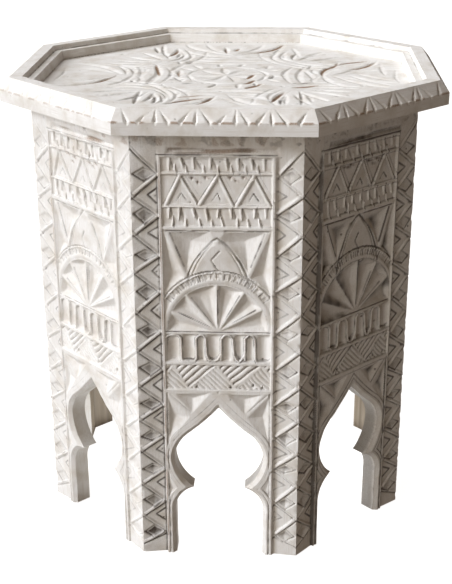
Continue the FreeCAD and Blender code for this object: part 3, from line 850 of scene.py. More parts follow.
            # Painted shade over one side of each ray
            relief.darken(on, self.hollow_shade_and_dirt * ramp(share, 0.4, 0.9) * ramp(radius[on], 8, 20))
        for ridge in ridges[1:-1]:
            aside = 1.6 if ridge > 60 else -1.6
            path = [self.at_angle(ridge, 7), self.at_angle(ridge - aside, 44)]
            relief.groove(path, 2.0, 1.2, ends=(0.5, 1.0), stain_and_shade=self.ridge_dirt_and_shade)
        relief.groove([self.at_angle(84, 7), self.at_angle(87.4, 47)], 3.4, 2.4, ends=(0.4, 1.0), stain_and_shade=0.6)
        relief.groove([(-52, 265.0), (-20, 265.4), (20, 264.8), (52, 265.0)], 1.8, 1.6, stain_and_shade=0.8)

    def carve_arcade(self, relief: Relief) -> None:
        """Cuts the eight slots with the thin wall that winds between them."""
        low, high = self.arcade_band
        self.sink_band(relief, (low - 1, high), 1.2, 1.3, 53.2)
        walls = [x + relief.sway(0.8) for x in self.arcade_walls]
        edges = [-53.5] + walls + [53.5]
        for left, right in zip(edges, edges[1:]):
            share = (relief.x - left) / (right - left)
            on = (share > 0) & (share < 1) & (relief.y > low) & (relief.y < high)
            closing = np.clip(np.minimum(relief.y[on] - low, high - relief.y[on]) / 3.0, 0, 1) ** 0.5
            relief.cut(on, 4.0 * np.sin(math.pi * share[on]) ** 0.8 * closing)
        path: list[Point] = []
        for number, (left, right) in enumerate(zip(edges, edges[1:])):
            middle = (left + right) / 2
            if number % 2 == 0:
                path += [(left, low + 3), (left + 0.3, high - 5), (left + 2.8, high - 1.5), (middle, high - 0.4),
                         (right - 2.8, high - 1.5), (right - 0.3, high - 5)]
            elif number in (3, 5):
                path += [(left + 0.8, low + 8), (left + 3.2, low + 2.5), (middle, low + 0.6),
                         (right - 3.2, low + 2.5), (right - 0.8, low + 8)]
            else:
                path += [(left, low + 3.5), (left + 1.6, low + 0.8), (middle, low + 0.3),
                         (right - 1.6, low + 0.8), (right, low + 3.5)]
        path = relief.drawn(0.25, 1, path)
        relief.rib(path, 1.1, top=0.0, slope=2.3, reach=5.5, stain_and_shade=self.ridge_dirt_and_shade)
        for left, right in zip(edges[::2], edges[1::2]):
            relief.rib([(right + 1.5, high + 0.5), (right + 2.5, high + 0.5)], 1.6, top=0.2, slope=1.4, reach=3)
            relief.sink([(left + 1, high - 1), (left + 4, high + 0.5), (left - 2, high + 0.5)], 0.8)
        self.line(relief, 229.8, 2.6)

    def carve_hatch(self, relief: Relief) -> None:
        """Cuts the band of slanted bars that change direction at a zigzag."""
        low, high = self.hatch_band
        crest = [(-60.0, low), (-45.5, high), (-31.0, low), (-2.0, high), (20.0, low), (46.5, high), (60.0, low)]
        crest = relief.drawn(0.6, 1, crest)
        inside = (relief.y > low) & (relief.y < high) & (np.abs(relief.x) < 53.3)
        over = relief.y - np.interp(relief.x, *zip(*crest))
        ends = np.clip(np.minimum(relief.y - low, high - relief.y) / 1.5, 0, 1)
        for side, run, pitch, depth, stain_and_shade in ((over > 0, 1.12, 5.8, 1.6, 0.75), (over <= 0, -1.05, 4.3, 0.9, 0.25)):
            offset = (relief.x - (relief.y - low) * run) / math.hypot(1, run)
            offset += (mottle(relief.x, relief.y, 14, relief.seed + 5) - 0.5) * 2.2
            gap = np.abs((offset / pitch) % 1 - 0.5) * pitch
            cut = np.clip((gap - pitch * 0.22) * 1.2, 0, depth) * ends
            on = inside & side
            relief.cut(on, cut[on])
            relief.darken(on, stain_and_shade * ramp(gap[on] / pitch, 0.34, 0.48))
        for start, end in zip(crest, crest[1:]):
            relief.rib([start, end], 1.6, top=0.1, slope=1.4, reach=3, stain_and_shade=0.4)
        for x in (-24, 13, 34, 47):
            x, y = relief.slip(x, low + 5, 1.5)
            relief.pit([(x - 3, y - 3), (x + 2.5, y - 3), (x, y + 4)], (x, y), 3.2, stain_and_shade=0.7)
        self.line(relief, 198.6, 3.2, top=-1.3)

    def carve_spandrels(self, relief: Relief) -> None:
        """Cuts the hollows between the hatched band, the arch and the frame."""
        for hand in Hand:
            way = hand.value
            # Dirt and painted shade at the floors of the hollows
            self.over_arch.cut(relief, hand, max(0.1, self.hollow_shade_and_dirt))
            self.beside_arch.cut(relief, hand, self.hollow_shade_and_dirt)
            relief.groove([(way * 50.0, 195.0), (way * 28.5, 173.5)], 1.5, 0.8, stain_and_shade=0.5)
            self.beside_cusp.cut(relief, hand, 0.0)

    def carve_strip(self, relief: Relief, hand: Hand) -> None:
        """Carves the zigzag, diamonds and chevrons of one side strip."""
        if hand is Hand.LEFT:
            work = StripWork(hand.value, 0.6, 1.0, self.side.strip_strength, 9.5, 1.7)
        else:
            work = StripWork(hand.value, 0.9, 0.75, self.side.strip_strength, 12.0, 1.1)
        panel = [relief.slip(self.strip_inner, height, work.loose) for height in self.panel_apexes]
        corner = [relief.slip(self.half - 0.6, height, work.loose) for height in self.corner_apexes]
        self.carve_chevrons(relief, work, panel, corner)
        self.carve_diamonds(relief, work, panel)
        zigzag = [spot for pair in zip(corner, panel) for spot in pair] + corner[len(panel):]
        self.carve_bars(relief, work, [(work.way * x, y) for x, y in zigzag])

    def carve_chevrons(self, relief: Relief, work: StripWork, panel: Sequence[Point], corner: Sequence[Point]) -> None:
        """Cuts the triangles that open to the panel, each with a chevron and a chip at its apex.

        Args:
            relief: What they are cut in.
            work: The strip's own manner.
            panel: The zigzag's apexes on the panel's side.
            corner: Its apexes on the board's edge.
        """
        way, inner = work.way, self.strip_inner
        for (ax, az), (cx, cz), (bx, bz) in zip(panel, corner[1:], panel[1:]):
            relief.sink([(way * ax, az), (way * cx, cz), (way * bx, bz)], 0.6, 1.0)
            apex = [(way * (cx - 0.8), cz), (way * (cx - 7.0), cz + 4.6), (way * (cx - 6.6), cz - 4.6)]
            relief.pit(apex, (way * (cx - 3.6), cz - 0.3), 1.8, stain_and_shade=0.7 * work.dark)
            size = relief.even(0.85, 1.15)
            arms = ((inner + 1.0, cz + 7.0 * size), (inner + work.reach * size, cz), (inner + 1.0, cz - 7.5 * size))
            relief.groove(relief.drawn(work.loose, way, arms), 2.8, work.chevron_depth * work.strong,
                          stain_and_shade=0.8 * work.dark)
            if relief.random.random() < 0.55:
                x, z = relief.slip(way * (inner + 3.4), cz, 0.6)
                chip = [(x - way * 2.4, z + 3.0), (x + way * 2.6, z), (x - way * 2.4, z - 3.0)]
                relief.pit(chip, (x, z), 1.8, stain_and_shade=0.6 * work.dark)

    def carve_diamonds(self, relief: Relief, work: StripWork, panel: Sequence[Point]) -> None:
        """Cuts a diamond in each of the triangles that open to the board's edge."""
        way, outer = work.way, self.half
        for x, z in panel:
            tall, lean = relief.even(6.2, 8.4), relief.sway(1)
            near_corner, tip = (way * (outer - 2.0), z + 0.5 + lean), (way * (x + 2.4), z + 0.3)
            top = relief.slip(way * (outer - 12.0), z + tall, work.loose)
            bottom = relief.slip(way * (outer - 12.5), z - tall, work.loose)
            diamond = [near_corner, top, tip, bottom]
            deep = relief.even(0.8, 1.2) * (1.25 if z < self.arch_shoulder else 0.9) * work.strong
            relief.sink(diamond, 1.1, 0.9)
            relief.pit(diamond, (way * (outer - 13.0), z + 1.0), 2.8 * deep)
            places, margins, _ = relief.margin(diamond, None)
            # Painted shade inside the diamond, lighter on the boards painted darker all over
            shade = (0.15 if self.shade_and_grime_side else 0.5) * deep * (0.4 + 0.6 * work.dark)
            relief.darken(places, shade * ramp(margins.min(axis=0), 0.6, 2.6))
            for side, depth, stain_and_shade in (((near_corner, bottom), 1.9, 0.8), ((bottom, tip), 1.8, 0.75),
                                       ((near_corner, top), 1.6, 0.5), ((top, tip), 1.5, 0.25)):
                relief.groove(side, 2.2, depth * work.strong, ends=(1.2, 0.8), stain_and_shade=stain_and_shade * work.dark)

    def carve_bars(self, relief: Relief, work: StripWork, zigzag: Sequence[Point]) -> None:
        """Leaves the zigzag standing, in broad crowned bars one way and thin ones the other."""
        strong, dark = work.strong, work.dark
        for start, end in zip(zigzag, zigzag[1:]):
            if (end[0] - start[0]) * (end[1] - start[1]) > 0:
                relief.rib([start, end], 2.0 + 1.4 * strong, top=0.3 - 1.8 * strong, slope=1.5, reach=3.6,
                           stain_and_shade=0.3 * dark, crown=1.0 * strong)
                beside = ((-3.2, 2.4, 1.5 * strong, 0.7),)
            else:
                relief.rib([start, end], 1.3, top=-0.3, slope=1.2, reach=2.2, stain_and_shade=0.2 * dark)
                beside = ((-2.0, 2.2, 1.3 * strong, 0.7), (2.4, 2.0, 0.7, 0.25))
            for rise, width, depth, stain_and_shade in beside:
                relief.groove(moved((start, end), (0, rise), (0, rise)), width, depth, stain_and_shade=stain_and_shade * dark)

    def carve_arch_edge(self, relief: Relief) -> None:
        """Bevels the arch's edge, with the raised band beside it."""
        point = self.arch[-1][1]
        heights = np.append(np.arange(-1.0, point, 1.0), point)
        half = self.arch_half(heights)
        for hand in Hand:
            way = hand.value
            outline = [(way * float(width), float(height)) for width, height in zip(half, heights)]
            outline += [(-way * 12.0, point + 12.0 * (heights[-1] - heights[-4]) / (half[-4] - half[-1]))]
            places, gap, _ = relief.near(outline, self.arch_band + 4)
            own = way * relief.x[places] >= 0
            places, gap = places[own], gap[own]
            wood = np.abs(relief.x[places]) >= self.arch_half(relief.y[places]) - 0.4
            gap = np.where(wood, gap, 0)
            waver = (mottle(relief.y[places], relief.x[places], 9, relief.seed + 3) - 0.5) * 0.8
            bevel = np.maximum(np.clip(self.arch_bevel + waver - gap, 0, None) - relief.ground[places], 0)
            channel = np.clip(1.1 - np.abs(gap - self.arch_channel - waver * 0.5) * 1.1, 0, 1.1)
            band = np.maximum(np.maximum(bevel, channel), 1.5 * np.maximum(0, gap - self.arch_band))
            relief.depth[places] = np.maximum(np.minimum(relief.depth[places], band), bevel)
            patch = ramp(mottle(relief.x[places], relief.y[places], 11, relief.seed + 4), 0.3, 0.8)
            relief.rub(places, lane(gap - 8.6, 1.1) * patch * 0.35)
            for crease, strength in ((self.arch_channel, 0.4), (self.arch_band + 0.9, 0.55)):
                relief.darken(places, lane(gap - crease, 1.0) * strength)
        void = np.abs(relief.x) < self.arch_half(relief.y) - 0.5
        relief.depth[void] = self.arch_bevel

    def wear(self, relief: Relief) -> None:
        """Adds the nicks, dents and rubbed corners of use."""
        for hand in Hand:
            corner = (self.index + (hand is Hand.RIGHT)) % SIDES
            level = np.zeros_like(relief.y)
            coarse, fine = mottle(relief.y, level, 7, 900 + corner), mottle(relief.y, level, 2.5, 950 + corner)
            rough = ramp(coarse, 0.6, 0.95) * 0.8 + ramp(fine, 0.7, 1) * 0.4
            reach = np.clip(1 - (self.half - hand.value * relief.x) / 2.6, 0, 1)
            relief.depth += rough * reach
            relief.bare += np.clip(rough * 0.6, 0, 0.8) * ramp(reach, 0.1, 0.8)
        across = relief.random.uniform(-self.half + 2, self.half - 2, self.dents)
        up = relief.random.uniform(8, self.height - 4, self.dents)
        widths = relief.random.uniform(1.5, 2.6, self.dents)
        for x, y, width in zip(across, up, widths):
            relief.pock([(float(x), float(y))], float(width), 0.6, 0.75)

    def build(self) -> bpy.types.Object:
        """Makes the board from one flat sheet, slit below the arch's point.

        Returns:
            The piece, in its place.
        """
        rows = round(self.height)
        bm = bmesh.new()
        bmesh.ops.create_grid(bm, x_segments=2 * self.columns, y_segments=rows, size=1)
        point = 2 * self.arch[-1][1] / rows - 1 + 0.1 / rows
        slit = [edge for edge in bm.edges if all(abs(vert.co.x) < TINY and vert.co.y < point for vert in edge.verts)]
        bmesh.ops.split_edges(bm, edges=slit)
        for vert in bm.verts:
            if abs(vert.co.x) < TINY and vert.is_boundary and abs(vert.co.y) < 1 + TINY:
                side = sum(face.calc_center_median().x for face in vert.link_faces)
                if abs(side) > TINY:
                    vert.co.x = math.copysign(1e-4, side)
        closed_back(bm, self.levels)
        return finished(bm, f"carved_board_{self.side.name}", self.place)

    def place(self, flat: Array) -> tuple[Array, Marks]:
        """Turns the sheet's places into the board's.

        Args:
            flat: Across, up and level of each vertex of the sheet.

        Returns:
            Their places in mm and their marks.
        """
        share = np.abs(flat[:, 0])
        share[share < 1e-3] = 0
        split, edge = 1 - self.strip_columns / self.columns, self.fillet_outer / self.half
        share = np.interp(share, (0, split, 1), (0, edge, 1))
        side = np.sign(flat[:, 0])
        height = (flat[:, 1] + 1) / 2 * self.height
        level = -flat[:, 2] / self.levels
        arch = self.arch_half(np.round(height, 3))
        x = side * (arch + (self.half - arch) * share)
        face = np.clip(x, -self.half, self.half)
        carved, marks = wear_and_shade_marks(self.carve, face, height, 100 + 17 * self.index, (-84, 84, 0, 476))
        depth = carved + (self.thickness - carved) * level
        x = x - side * depth * MITRE * share ** np.where(level > 0, 1.0, 16.0)
        deep = level > 0
        # Dirt and painted shade over the whole board; on the left strip, painted shade where it slopes from the light
        grime_and_shade = np.where(face < -self.strip_inner, self.side.strip_shade_and_grime, self.side.grime_and_shade)
        marks["dirty"] = np.clip(marks["dirty"] * self.side.cut_shade_and_soiling + grime_and_shade, 0, 1)
        marks["worn"] = np.where(deep, marks["worn"] * np.clip(1 - level * 3, 0, 1), marks["worn"])
        # The cut edges of the right half are darkened with dirt and painted shade, the left half's not
        marks["dirty"] = np.where(deep, np.where(side > 0, self.reveal_shade_and_dirt + self.side.grime_and_shade, 0.0), marks["dirty"])
        # Each board is cut from another stretch of wood
        marks["grain"] = np.stack((x + self.index * 300, height, depth), axis=1)
        return turned(np.stack((x, depth - self.apothem, height), axis=1), self.index), marks


@dataclass
class RimMoulding:
    """One mitred length of the tray's rim, its outer bevel cut with fanned chips."""
    index: int
    side: Side
    profile: tuple[Point, ...] = ((196, 484.5), (198, 494.5), (205.5, 494.5), (207.5, 500), (220.5, 500),
                                  (230, 488.3), (230, 476), (206, 476), (206, 484.5), (196, 484.5))
    steps: tuple[int, ...] = (8, 6, 5, 10, 15, 11, 6, 1, 1)
    columns: int = 186
    dents: int = 16
    fans: tuple[tuple[float, tuple[float, ...]], ...] = (
        (-87.0, (-80.6,)), (-54.0, (-69.9, -55.5, -42.5)), (-16.6, (-31.0, -18.0, -3.8)),
        (19.4, (3.5, 18.8, 30.8)), (52.6, (39.0, 52.1, 66.3)), (86.3, (79.4,)))

    def stations(self) -> tuple[Array, Array, Array]:
        """Gives each row's place on the profile, its outward direction and its distance along it."""
        spots, ways, along = [], [], []
        done = 0.0
        for (start, end), steps in zip(zip(self.profile, self.profile[1:]), self.steps):
            run = np.subtract(end, start)
            length = float(np.hypot(*run))
            way = np.array((-run[1], run[0])) / length
            for step in range(steps):
                spots.append(np.add(start, run * step / steps))
                ways.append(way)
                along.append(done + length * step / steps)
            done += length
        spots.append(np.array(self.profile[-1], dtype=float))
        ways.append(ways[0])
        along.append(done)
        return np.array(spots, dtype=float), np.array(ways), np.array(along)

    def carve(self, relief: Relief) -> None:
        """Cuts the fans of narrow chips down the bevel; x is along the rim and y along the profile."""
        lengths = [math.dist(a, b) for a, b in zip(self.profile, self.profile[1:])]
        top, foot = sum(lengths[:4]), sum(lengths[:5])
        for apex, ends in self.fans:
            for number, end in enumerate(ends):
                lean = (number - (len(ends) - 1) / 2) * 2.6
                head, toe = relief.slip(apex + lean, top + 0.6, 0.4), relief.slip(end, foot + 1.6, 0.6)
                half = 2.9 if number != 1 else 2.5
                corners = [head, (toe[0] + half, foot - 1.0), (toe[0] + 0.3, foot + 3.4), (toe[0] - half, foot - 1.0)]
                floor = (head[0] * 0.14 + toe[0] * 0.86, foot - 1.6)
                relief.pit(corners, floor, self.side.flute_depth, scoop=0.0)
                relief.groove([head, floor], 1.0, 0.5, stain_and_shade=0.35)
        patch = ramp(mottle(relief.x, relief.y * 0.3, 12, relief.seed), 0.15, 0.55)
        uncut = 1 - ramp(relief.depth, 0.1, 0.6)
        strength = 0.9 if self.side.flute_depth > 2 else 0.65
        relief.bare += lane(relief.y - foot, 1.9, 1.3) * patch * uncut * strength
        for edge in (lengths[0] + lengths[1], sum(lengths[:3]), top):
            rubbed = ramp(mottle(relief.x, relief.y, 14, relief.seed + 2 + round(edge)), 0.4, 0.8)
            relief.bare += lane(relief.y - edge, 1.0, 1.2) * rubbed * 0.55
        for _ in range(self.dents):
            spot = (relief.even(-88, 88), relief.even(4, foot + 12))
            relief.pock([spot], relief.even(1.4, 2.6), 0.4, 0.6)
        # Painted shadow in the two inside corners of the moulding, mottled
        shadow = lane(relief.y - lengths[0] - lengths[1], 1.8) + np.clip(1 - relief.y / 1.8, 0, 1)
        patch = 0.35 + 0.65 * mottle(relief.x, relief.y, 18, relief.seed + 7)
        relief.darken(..., shadow * patch * 0.75)
        nick = ramp(mottle(relief.x, np.zeros_like(relief.x), 3.5, relief.seed + 5), 0.7, 1.0)
        relief.depth += nick * 0.5 * lane(relief.y - foot, 1.6)

    def build(self) -> bpy.types.Object:
        """Sweeps the profile along the rim and mitres it.

        Returns:
            The piece, in its place.
        """
        bm = bmesh.new()
        bmesh.ops.create_grid(bm, x_segments=self.columns, y_segments=sum(self.steps), size=1)
        for end in (-1, 1):
            rim = [edge for edge in bm.edges
                   if edge.is_boundary and all(abs(vert.co.x - end) < TINY for vert in edge.verts)]
            bmesh.ops.contextual_create(bm, geom=rim)
        return finished(bm, f"rim_moulding_{self.side.name}", self.place)

    def place(self, flat: Array) -> tuple[Array, Marks]:
        """Turns the sheet's places into the moulding's."""
        spots, ways, along = self.stations()
        row = np.rint((flat[:, 1] + 1) / 2 * sum(self.steps)).astype(int)
        start = spots[row]
        x = flat[:, 0] * start[:, 0] * MITRE
        carved, marks = wear_and_shade_marks(self.carve, x, along[row], 500 + 13 * self.index, (-98, 98, 0, round(along[-1])))
        mitred = ramp(1 - np.abs(flat[:, 0]), 0, 0.02)
        carved = carved * mitred * (row > 0) * (row < len(spots) - 1)
        out = start - ways[row] * carved[:, None]
        x = flat[:, 0] * out[:, 0] * MITRE
        # Each length is cut from another stretch of wood, with the grain along it
        marks["grain"] = np.stack((along[row] + self.index * 90, x + self.index * 500, carved), axis=1)
        return turned(np.stack((x, -out[:, 0], out[:, 1]), axis=1), self.index), marks


@dataclass(frozen=True)
class Stroke:
    """One hollow stroke of the tray's carving.

    Attributes:
        path: Its deepest line, in mm across and up the board.
        width: Width of its narrow face in mm.
        depth: Its depth in mm.
        stain_and_shade: Dirt and painted shade along its line, 0 to 1.
        bare: Paint rubbed off beside its line, 0 to 1.
    """
    path: tuple[Point, ...]
    width: float
    depth: float
    stain_and_shade: float
    bare: float = 0.0


@dataclass
class TrayBoard:
    """The octagonal board under the rim, carved on top with four pointed lobes, four shells and a rosette."""
    apothem: float = 206.0
    top: float = 484.5
    bottom: float = 476.0
    cells: int = 316
    worn_down: float = 0.85
    wide_face: float = 2.2
    # Strength of the dirt and painted shade along the strokes
    stroke_dirt_and_shade: float = 0.85
    stroke_bare: float = 1.35
    lobe_side: tuple[Point, ...] = ((187, 60), (172, 58), (158, 51), (141, 38), (128, 21), (118, 6), (112, 0))
    lobe_hood: tuple[Point, ...] = ((132, 58), (113, 38), (105.5, 17), (104, -2))
    lobe_leaf: tuple[Point, ...] = ((120, 3), (140, 20), (162, 31), (184, 36))
    shell_ribs: tuple[tuple[Point, ...], ...] = (
        ((114, -22), (126, -38), (142, -50)), ((116, -12), (134, -25), (162, -36)), ((115, -3), (136, -8), (168, -13)),
        ((114, 4), (134, 12), (164, 17)), ((114, 13), (130, 28), (150, 38)), ((113, 24), (124, 40), (138, 53)))
    shell_bands: tuple[tuple[Point, ...], ...] = (
        ((148, 54), (129, 46), (112, 31), (105, 13), (104, -2)), ((150, 66), (127, 55), (105, 40), (95, 20), (93, -2)),
        ((120, 76), (100, 54), (90, 36), (84, 16), (82, -2)))
    strokes: tuple[Stroke, ...] = (
        Stroke(((-171, -59), (-150, -48), (-134, -33), (-124, -14), (-119, 0)), 3.0, 2.0, 0.55, 0.55),
        Stroke(((-128, 52), (-116, 28), (-111, -2)), 2.4, 1.4, 0.25),
        Stroke(((-105, 52), (-96, 22), (-95, -20)), 3.0, 1.2, 0.15),
        Stroke(((-85, 62), (-81, 32), (-74, -8)), 3.0, 1.8, 0.3, 0.75),
        Stroke(((-79, 5), (-80, -20), (-86, -42)), 2.6, 1.4, 0.3, 0.2),
        Stroke(((-55, 26), (-55, 6), (-51, -12)), 2.8, 1.4, 0.3, 0.5),
        Stroke(((-56, -12), (-51, -24), (-47, -36)), 3.2, 2.0, 1.0, 0.2),
        Stroke(((-62, 14), (-63, -10)), 2.2, 1.4, 0.7),
        Stroke(((-66, 18), (-60, 44), (-52, 60)), 3.2, 1.3, 0.3, 0.1),
        Stroke(((-43, 86), (-47, 74), (-51, 60)), 4.6, 1.8, 0.7, 0.2),
        Stroke(((-60, 78), (-58, 58)), 2.0, 1.3, 0.7),
        Stroke(((123, 78), (120, 56), (108, 38), (103, 14), (105, -6)), 3.4, 2.0, 0.5, 0.7),
        Stroke(((121, 60), (138, 77), (162, 84)), 3.6, 1.6, 0.35, 0.6),
        Stroke(((130, 34), (150, 47), (168, 80)), 3.6, 1.8, 0.35, 0.6),
        Stroke(((132, 4), (150, -20), (177, -50)), 2.6, 1.4, 0.3, 0.1),
        Stroke(((140, 16), (158, -8), (178, -22)), 2.6, 1.3, 0.25, 0.1),
        Stroke(((171, 66), (170, 34), (172, 4)), 2.4, 1.2, 0.35, 0.3),
        Stroke(((-87, -78), (-87, -110), (-86, -142)), 2.4, 2.2, 1.0, 0.2),
        Stroke(((-72, -92), (-66, -114), (-67, -140)), 2.2, 2.0, 1.0),
        Stroke(((-108, -44), (-88, -44), (-72, -58), (-57, -86), (-51, -122)), 2.4, 1.6, 0.15),
        Stroke(((-57, -141), (-41, -122), (-12, -106)), 3.4, 2.0, 0.8, 0.6),
        Stroke(((-52, -112), (-36, -101), (-12, -94)), 5.0, 1.2, 0.1, 0.5),
        Stroke(((-27, -143), (-15, -124), (-8, -102)), 3.0, 1.8, 0.5, 0.6),
        Stroke(((3, -94), (14, -120), (36, -144)), 2.6, 1.6, 0.3, 0.1),
        Stroke(((8, -94), (36, -106), (58, -132)), 2.6, 1.3, 0.1),
        Stroke(((64, -80), (55, -102), (49, -130)), 4.2, 2.4, 0.7, 0.7),
        Stroke(((65, -92), (60, -114), (60, -138)), 2.2, 2.0, 0.95),
        Stroke(((80, -78), (81, -110), (81, -142)), 2.0, 1.8, 0.9),
        Stroke(((86, -92), (91, -128)), 1.8, 1.2, 0.5),
        Stroke(((69, -62), (86, -52), (102, -46)), 4.6, 1.6, 0.25, 0.7),
        Stroke(((71, -40), (84, -35), (97, -29)), 3.0, 2.2, 1.0, 0.3),
        Stroke(((-10, 164), (-9, 144), (-7, 126)), 2.6, 1.8, 0.7, 0.5),
        Stroke(((3, 140), (8, 160)), 3.6, 1.2, 0.2, 0.6),
        Stroke(((18, 124), (40, 141), (53, 158), (61, 188)), 4.6, 1.8, 0.4, 0.75),
        Stroke(((47, 122), (51, 138), (58, 172)), 2.0, 1.3, 0.7),
        Stroke(((-96, 160), (-90, 126)), 2.4, 1.8, 1.0),
        Stroke(((-87, 186), (-87, 150), (-80, 104)), 2.2, 1.5, 0.7),
        Stroke(((-67, 154), (-66, 132), (-76, 102)), 3.6, 1.8, 0.5, 0.6),
        Stroke(((72, 164), (80, 100)), 2.0, 1.2, 0.35),
        Stroke(((86, 106), (96, 122), (108, 138)), 3.2, 1.3, 0.3),
        Stroke(((74, 50), (62, 26), (60, 0), (66, -28)), 2.4, 1.4, 0.3, 0.1),
        Stroke(((80, 34), (87, 18), (95, -26)), 2.4, 1.2, 0.3, 0.1),
        Stroke(((94, 60), (92, 48), (87, 36)), 4.0, 1.6, 0.6, 0.3),
        Stroke(((46, 52), (41, 36)), 3.8, 1.4, 0.5, 0.1),
        Stroke(((51, 2), (49, -8), (45, -18)), 2.8, 1.8, 1.0, 0.1),
        Stroke(((29, 8), (26, -8), (19, -20)), 2.8, 1.5, 0.3, 0.8),
        Stroke(((20, -44), (26, -34), (33, -24)), 3.0, 1.5, 0.5, 0.8),
        Stroke(((21, -66), (29, -56), (39, -42)), 3.4, 1.5, 0.4, 0.8))
    spots: tuple[Point, ...] = (
        (-128, -101), (-118, -98), (-60, -62), (-44, -92), (-68, -50), (-102, -32), (-84, -38), (118, -101),
        (127, -95), (145, -50), (60, -52), (-3, -77), (3, -80), (20, -82), (-11, -46), (-131, 115), (111, 122),
        (-160, 2), (-174, -14), (-22, -44), (11, -44), (-36, -30))
    dents: int = 130

    def local(self, angle: float, along: float, aside: float) -> Point:
        """Turns a place along and left of a direction into one on the board."""
        turn = math.radians(angle)
        return (along * math.cos(turn) - aside * math.sin(turn), along * math.sin(turn) + aside * math.cos(turn))

    def carve(self, relief: Relief) -> None:
        """Carves the whole top."""
        for number in range(4):
            self.carve_lobe(relief, number * 90.0)
            self.carve_shell(relief, number * 90.0 + 45)
        self.carve_rosette(relief)
        relief.depth *= self.worn_down
        for stroke in self.strokes:
            faces = (stroke.width, stroke.width * self.wide_face)
            stain_and_shade, bare = stroke.stain_and_shade * self.stroke_dirt_and_shade, stroke.bare * self.stroke_bare
            self.trace(relief, 0.0, stroke.path, faces, stroke.depth, stain_and_shade, bare)
        for spot in self.spots:
            relief.pock([relief.slip(*spot, 1.0)], relief.even(3.2, 4.6), 1.6, 1.0)
        for _ in range(self.dents):
            radius, turn = relief.even(20, 185), relief.even(0, 360)
            relief.pock([self.local(turn, radius, 0)], relief.even(2.0, 3.4), 0.7, 0.6)

    def trace(self, relief: Relief, angle: float, path: Sequence[Point], faces: Point, depth: float,
              stain_and_shade: float = 0.0, bare: float = 0.0, loose: float = 0.7) -> None:
        """Cuts a hollow leaf given by places along and left of a direction, its narrow face to the left of the table.

        Args:
            relief: What it is cut in.
            angle: The direction in degrees.
            path: Its places along and left of that direction.
            faces: Widths of its narrow and its wide face in mm.
            depth: Its depth in mm.
            stain_and_shade: Dirt and painted shade along its line, 0 to 1.
            bare: Paint rubbed off beside its line, 0 to 1.
            loose: How far the hand slips.
        """
        places = [relief.slip(*self.local(angle, *spot), loose) for spot in path]
        upward = places[-1][1] - places[0][1] + 0.4 * (places[-1][0] - places[0][0]) > 0
        left, right = faces if upward else faces[::-1]
        relief.leaf(softened(places), left, right, depth, stain_and_shade, bare)

    def carve_lobe(self, relief: Relief, angle: float) -> None:
        """Cuts one pointed lobe: its sides, a crescent round its tip and two leaves inside."""
        for way in (-1, 1):
            for path, faces, depth, stain_and_shade in ((self.lobe_side, (2.6, 7.0), 2.0, 0.3),
                                              (self.lobe_hood, (2.4, 6.5), 1.7, 0.25),
                                              (self.lobe_leaf, (2.6, 7.5), 1.4, 0.2)):
                side = [(along, way * aside) for along, aside in path]
                self.trace(relief, angle, side, faces, depth, stain_and_shade)
        self.trace(relief, angle, [(186, -36), (182, -8), (184, 14), (186, 36)], (2.0, 3.0), 1.0, 0.4)

    def carve_shell(self, relief: Relief, angle: float) -> None:
        """Cuts one shell of curved ribs under its hood of three bands."""
        for rib in self.shell_ribs:
            deep = relief.even(0.75, 1.15)
            self.trace(relief, angle, rib, (2.2, 5.4), 2.0 * deep, 0.45 * deep)
        for number, band in enumerate(self.shell_bands):
            for way in (-1, 1):
                path = [(along, way * aside) for along, aside in band]
                self.trace(relief, angle, path, (2.0, 5.0), 1.8 - number * 0.2, 0.22, loose=0.5)

    def carve_rosette(self, relief: Relief) -> None:
        """Cuts the creased petals in their ring, the chips round them and the arcs before the lobes."""
        for number in range(8):
            angle = number * 45.0 + 10 + relief.sway(4)
            self.trace(relief, angle, [(4, 0), (22, 2.5), (38, -1)], (3.0, 7.5), 1.7, 0.2)
        ring = [self.local(turn, 43, 0) for turn in (-3, 10, 20, 30, 43)]
        for first in range(0, 360, 45):
            self.trace(relief, first, ring, (1.8, 3.8), 1.5, 0.25, loose=0.9)
        for number in range(14):
            angle = number * 360 / 14 + relief.sway(3)
            dark = 0.7 if relief.random.random() < 0.3 else 0.2
            self.trace(relief, angle, [(47, 2), (55, -1), (66, -3)], (2.2, 4.6), 1.7, dark)
        for number in range(4):
            angle = number * 90.0
            self.trace(relief, angle, [(88, 64), (80, 32), (76, 0), (80, -32), (88, -62)], (2.6, 6.5), 1.8, 0.25)
            self.trace(relief, angle, [(71, 46), (64, 22), (62, 0), (65, -24), (72, -46)], (2.0, 4.5), 1.3, 0.25)
            for way in (-1, 1):
                self.trace(relief, angle, [(100, way * 4), (92, way * 22), (97, way * 44)], (2.0, 5.0), 1.2, 0.2)

    def build(self) -> bpy.types.Object:
        """Cuts the octagon from a square sheet and gives it its thickness.

        Returns:
            The piece, in its place.
        """
        bm = bmesh.new()
        bmesh.ops.create_grid(bm, x_segments=self.cells, y_segments=self.cells, size=1)
        for number in range(4):
            way = Vector((*self.local(45 + 90 * number, 1, 0), 0))
            geom = [*bm.verts, *bm.edges, *bm.faces]
            bmesh.ops.bisect_plane(bm, geom=geom, dist=1e-5, plane_co=way, plane_no=way, clear_outer=True)
        closed_back(bm, 1)
        return finished(bm, "carved_tray", self.place, crease=42)

